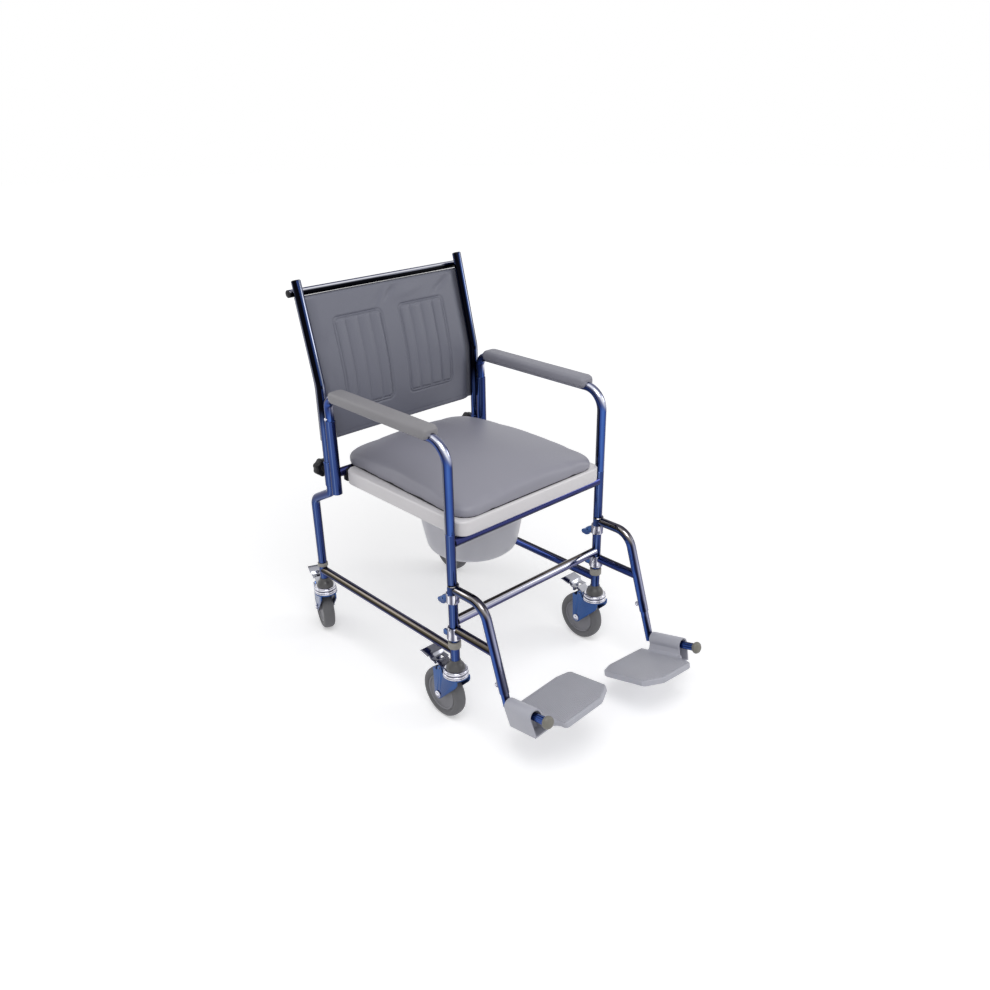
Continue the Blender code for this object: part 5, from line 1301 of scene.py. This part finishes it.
# %% Shape of the back pad
# A line is (depth, half width). A crease is (x, z, slant, half length, half width, depth).
PAD_Z, PAD_EDGE_X, HEM, HEM_STITCH = (0.573, 0.9045), 0.241, 0.011, 0.0035
PANEL_X, PANEL_Z, PANEL_CORNER = (0.025, 0.166), (0.634, 0.851), 0.014
OUTER_LINE, INNER_LINE, BETWEEN_LINES = (0.0023, 0.0015), (0.0016, 0.0013), (-0.0009, 0.0014)
LINE_GAP, CROWN, TUCK, TUCK_WIDTH = 0.0058, 0.0135, 0.0042, 0.0055
CREASES = [(0.012, 0.882, 0.7, 0.022, 0.006, 0.0034), (-0.030, 0.872, 0.9, 0.030, 0.007, 0.0022),
           (0.176, 0.880, 0.5, 0.036, 0.008, 0.0036), (-0.205, 0.800, 1.2, 0.024, 0.010, 0.0024),
           (-0.200, 0.720, 1.5, 0.026, 0.010, 0.0020), (0.060, 0.876, 0.2, 0.040, 0.010, -0.0020)]


def panel_distance(x, z):
    """How far a point lies outside the nearer panel's rounded outline; inside is negative."""
    half_x, half_z = (PANEL_X[1] - PANEL_X[0]) / 2, (PANEL_Z[1] - PANEL_Z[0]) / 2
    off_x = abs(abs(x) - sum(PANEL_X) / 2) - (half_x - PANEL_CORNER)
    off_z = abs(z - sum(PANEL_Z) / 2) - (half_z - PANEL_CORNER)
    return hypot(max(off_x, 0), max(off_z, 0)) + min(max(off_x, off_z), 0) - PANEL_CORNER


def groove(distance, width):
    return exp(-(distance / width) ** 2)


def tucked(x, z):
    """How far the cover turns in, close to its edge."""
    edge = min(z - PAD_Z[0], PAD_Z[1] - z, PAD_EDGE_X - abs(x))
    return TUCK * (1 - min(1.0, edge / TUCK_WIDTH)) ** 2


def pad_front(x, z):
    """How far the front of the pad lies behind the uprights' axes."""
    free = 1 - limited((abs(x) - (HALF_WIDTH - TUBE_R - 0.030)) / 0.0305) ** 2
    crown = CROWN * free * (0.72 + 0.28 * sin(pi * (z - PAD_Z[0]) / (PAD_Z[1] - PAD_Z[0])))
    gap = panel_distance(x, z)
    dent = 0
    for (depth, width), inward in ((OUTER_LINE, 0), (INNER_LINE, LINE_GAP),
                                   (BETWEEN_LINES, LINE_GAP / 2)):
        dent += depth * groove(gap + inward, width)
    if gap < -LINE_GAP:
        pitch = (PANEL_X[1] - PANEL_X[0]) / 4
        share = ((abs(x) - PANEL_X[0]) / pitch) % 1.0
        ends = min(1.0, (-gap - LINE_GAP) / 0.004)
        if PANEL_X[0] + pitch / 2 < abs(x) < PANEL_X[1] - pitch / 2:
            dent += 0.0024 * groove(min(share, 1 - share) * pitch, 0.0015) * ends
        dent -= 0.0018 * sin(pi * share) * ends
    up = z - PAD_Z[0] - HEM
    hem = 0.0012 * groove(up, 0.0010) + 0.0009 * groove(up + HEM_STITCH, 0.0009)
    crease = 0
    for at_x, at_z, slant, length, width, depth in CREASES:
        along = (x - at_x) * cos(slant) + (z - at_z) * sin(slant)
        aside = (z - at_z) * cos(slant) - (x - at_x) * sin(slant)
        crease += depth * exp(-(along / length) ** 2 - (aside / width) ** 2)
    return TUBE_R + 3 * GAP - crown + dent + hem + crease * free + tucked(x, z)


def pad_back(x, z):
    seam = 0.0010 * groove(z - PAD_Z[0] - HEM, 0.0010)
    seam += 0.0010 * groove(PAD_Z[1] - 0.009 - z, 0.0010)
    return TUBE_R + 0.013 - tucked(x, z) - seam


# %% Back pad
def place_on_back(verts, offset):
    """The free middle bends gently; the sides follow the uprights."""
    for vert in verts:
        x, rise = vert.co.x, vert.co.z - BEND_Z
        slant = 1 + (1 / cos(BACK_RAKE) - 1) * limited(rise / 0.024 + 0.5)
        wide = 0.014 + 0.050 * max(0.0, 1 - (abs(x) / (HALF_WIDTH - TUBE_R)) ** 4)
        axis = BACK_Y + 0.5 * tan(BACK_RAKE) * (rise + hypot(rise, wide))
        vert.co.y = axis + offset(x, vert.co.z) * slant


pad = bmesh.new()
bmesh.ops.create_grid(pad, x_segments=220, y_segments=148, size=1, matrix=quarter("X"))
tall = (PAD_Z[1] - PAD_Z[0]) / 2
for vert in pad.verts:
    vert.co = Vector((vert.co.x * PAD_EDGE_X, 0, sum(PAD_Z) / 2 + vert.co.z * tall))
front_verts = list(pad.verts)
grown = bmesh.ops.extrude_face_region(pad, geom=list(pad.faces))
place_on_back(front_verts, pad_front)
place_on_back(new_verts(grown), pad_back)
back_pad = add_piece(pad, "back_cover", back_vinyl, "grey_vinyl", "back", "back_pad", sharp=70)
print("back pad points:", len(back_pad.data.vertices))

# %% [markdown]
# Two black star knobs clamp the uprights in their sockets. They are moulded with seven lobes; the
# solid has them already, so a copy is softened.

# %% Star knobs
for side in SIDES:
    add_piece(from_cad(f"star_knob_{side}", 0.0010, 2, 28), f"clamp_knob_{side}", black,
              "black_plastic", f"knob_{side}", f"star_knob_{side}", sharp=40)
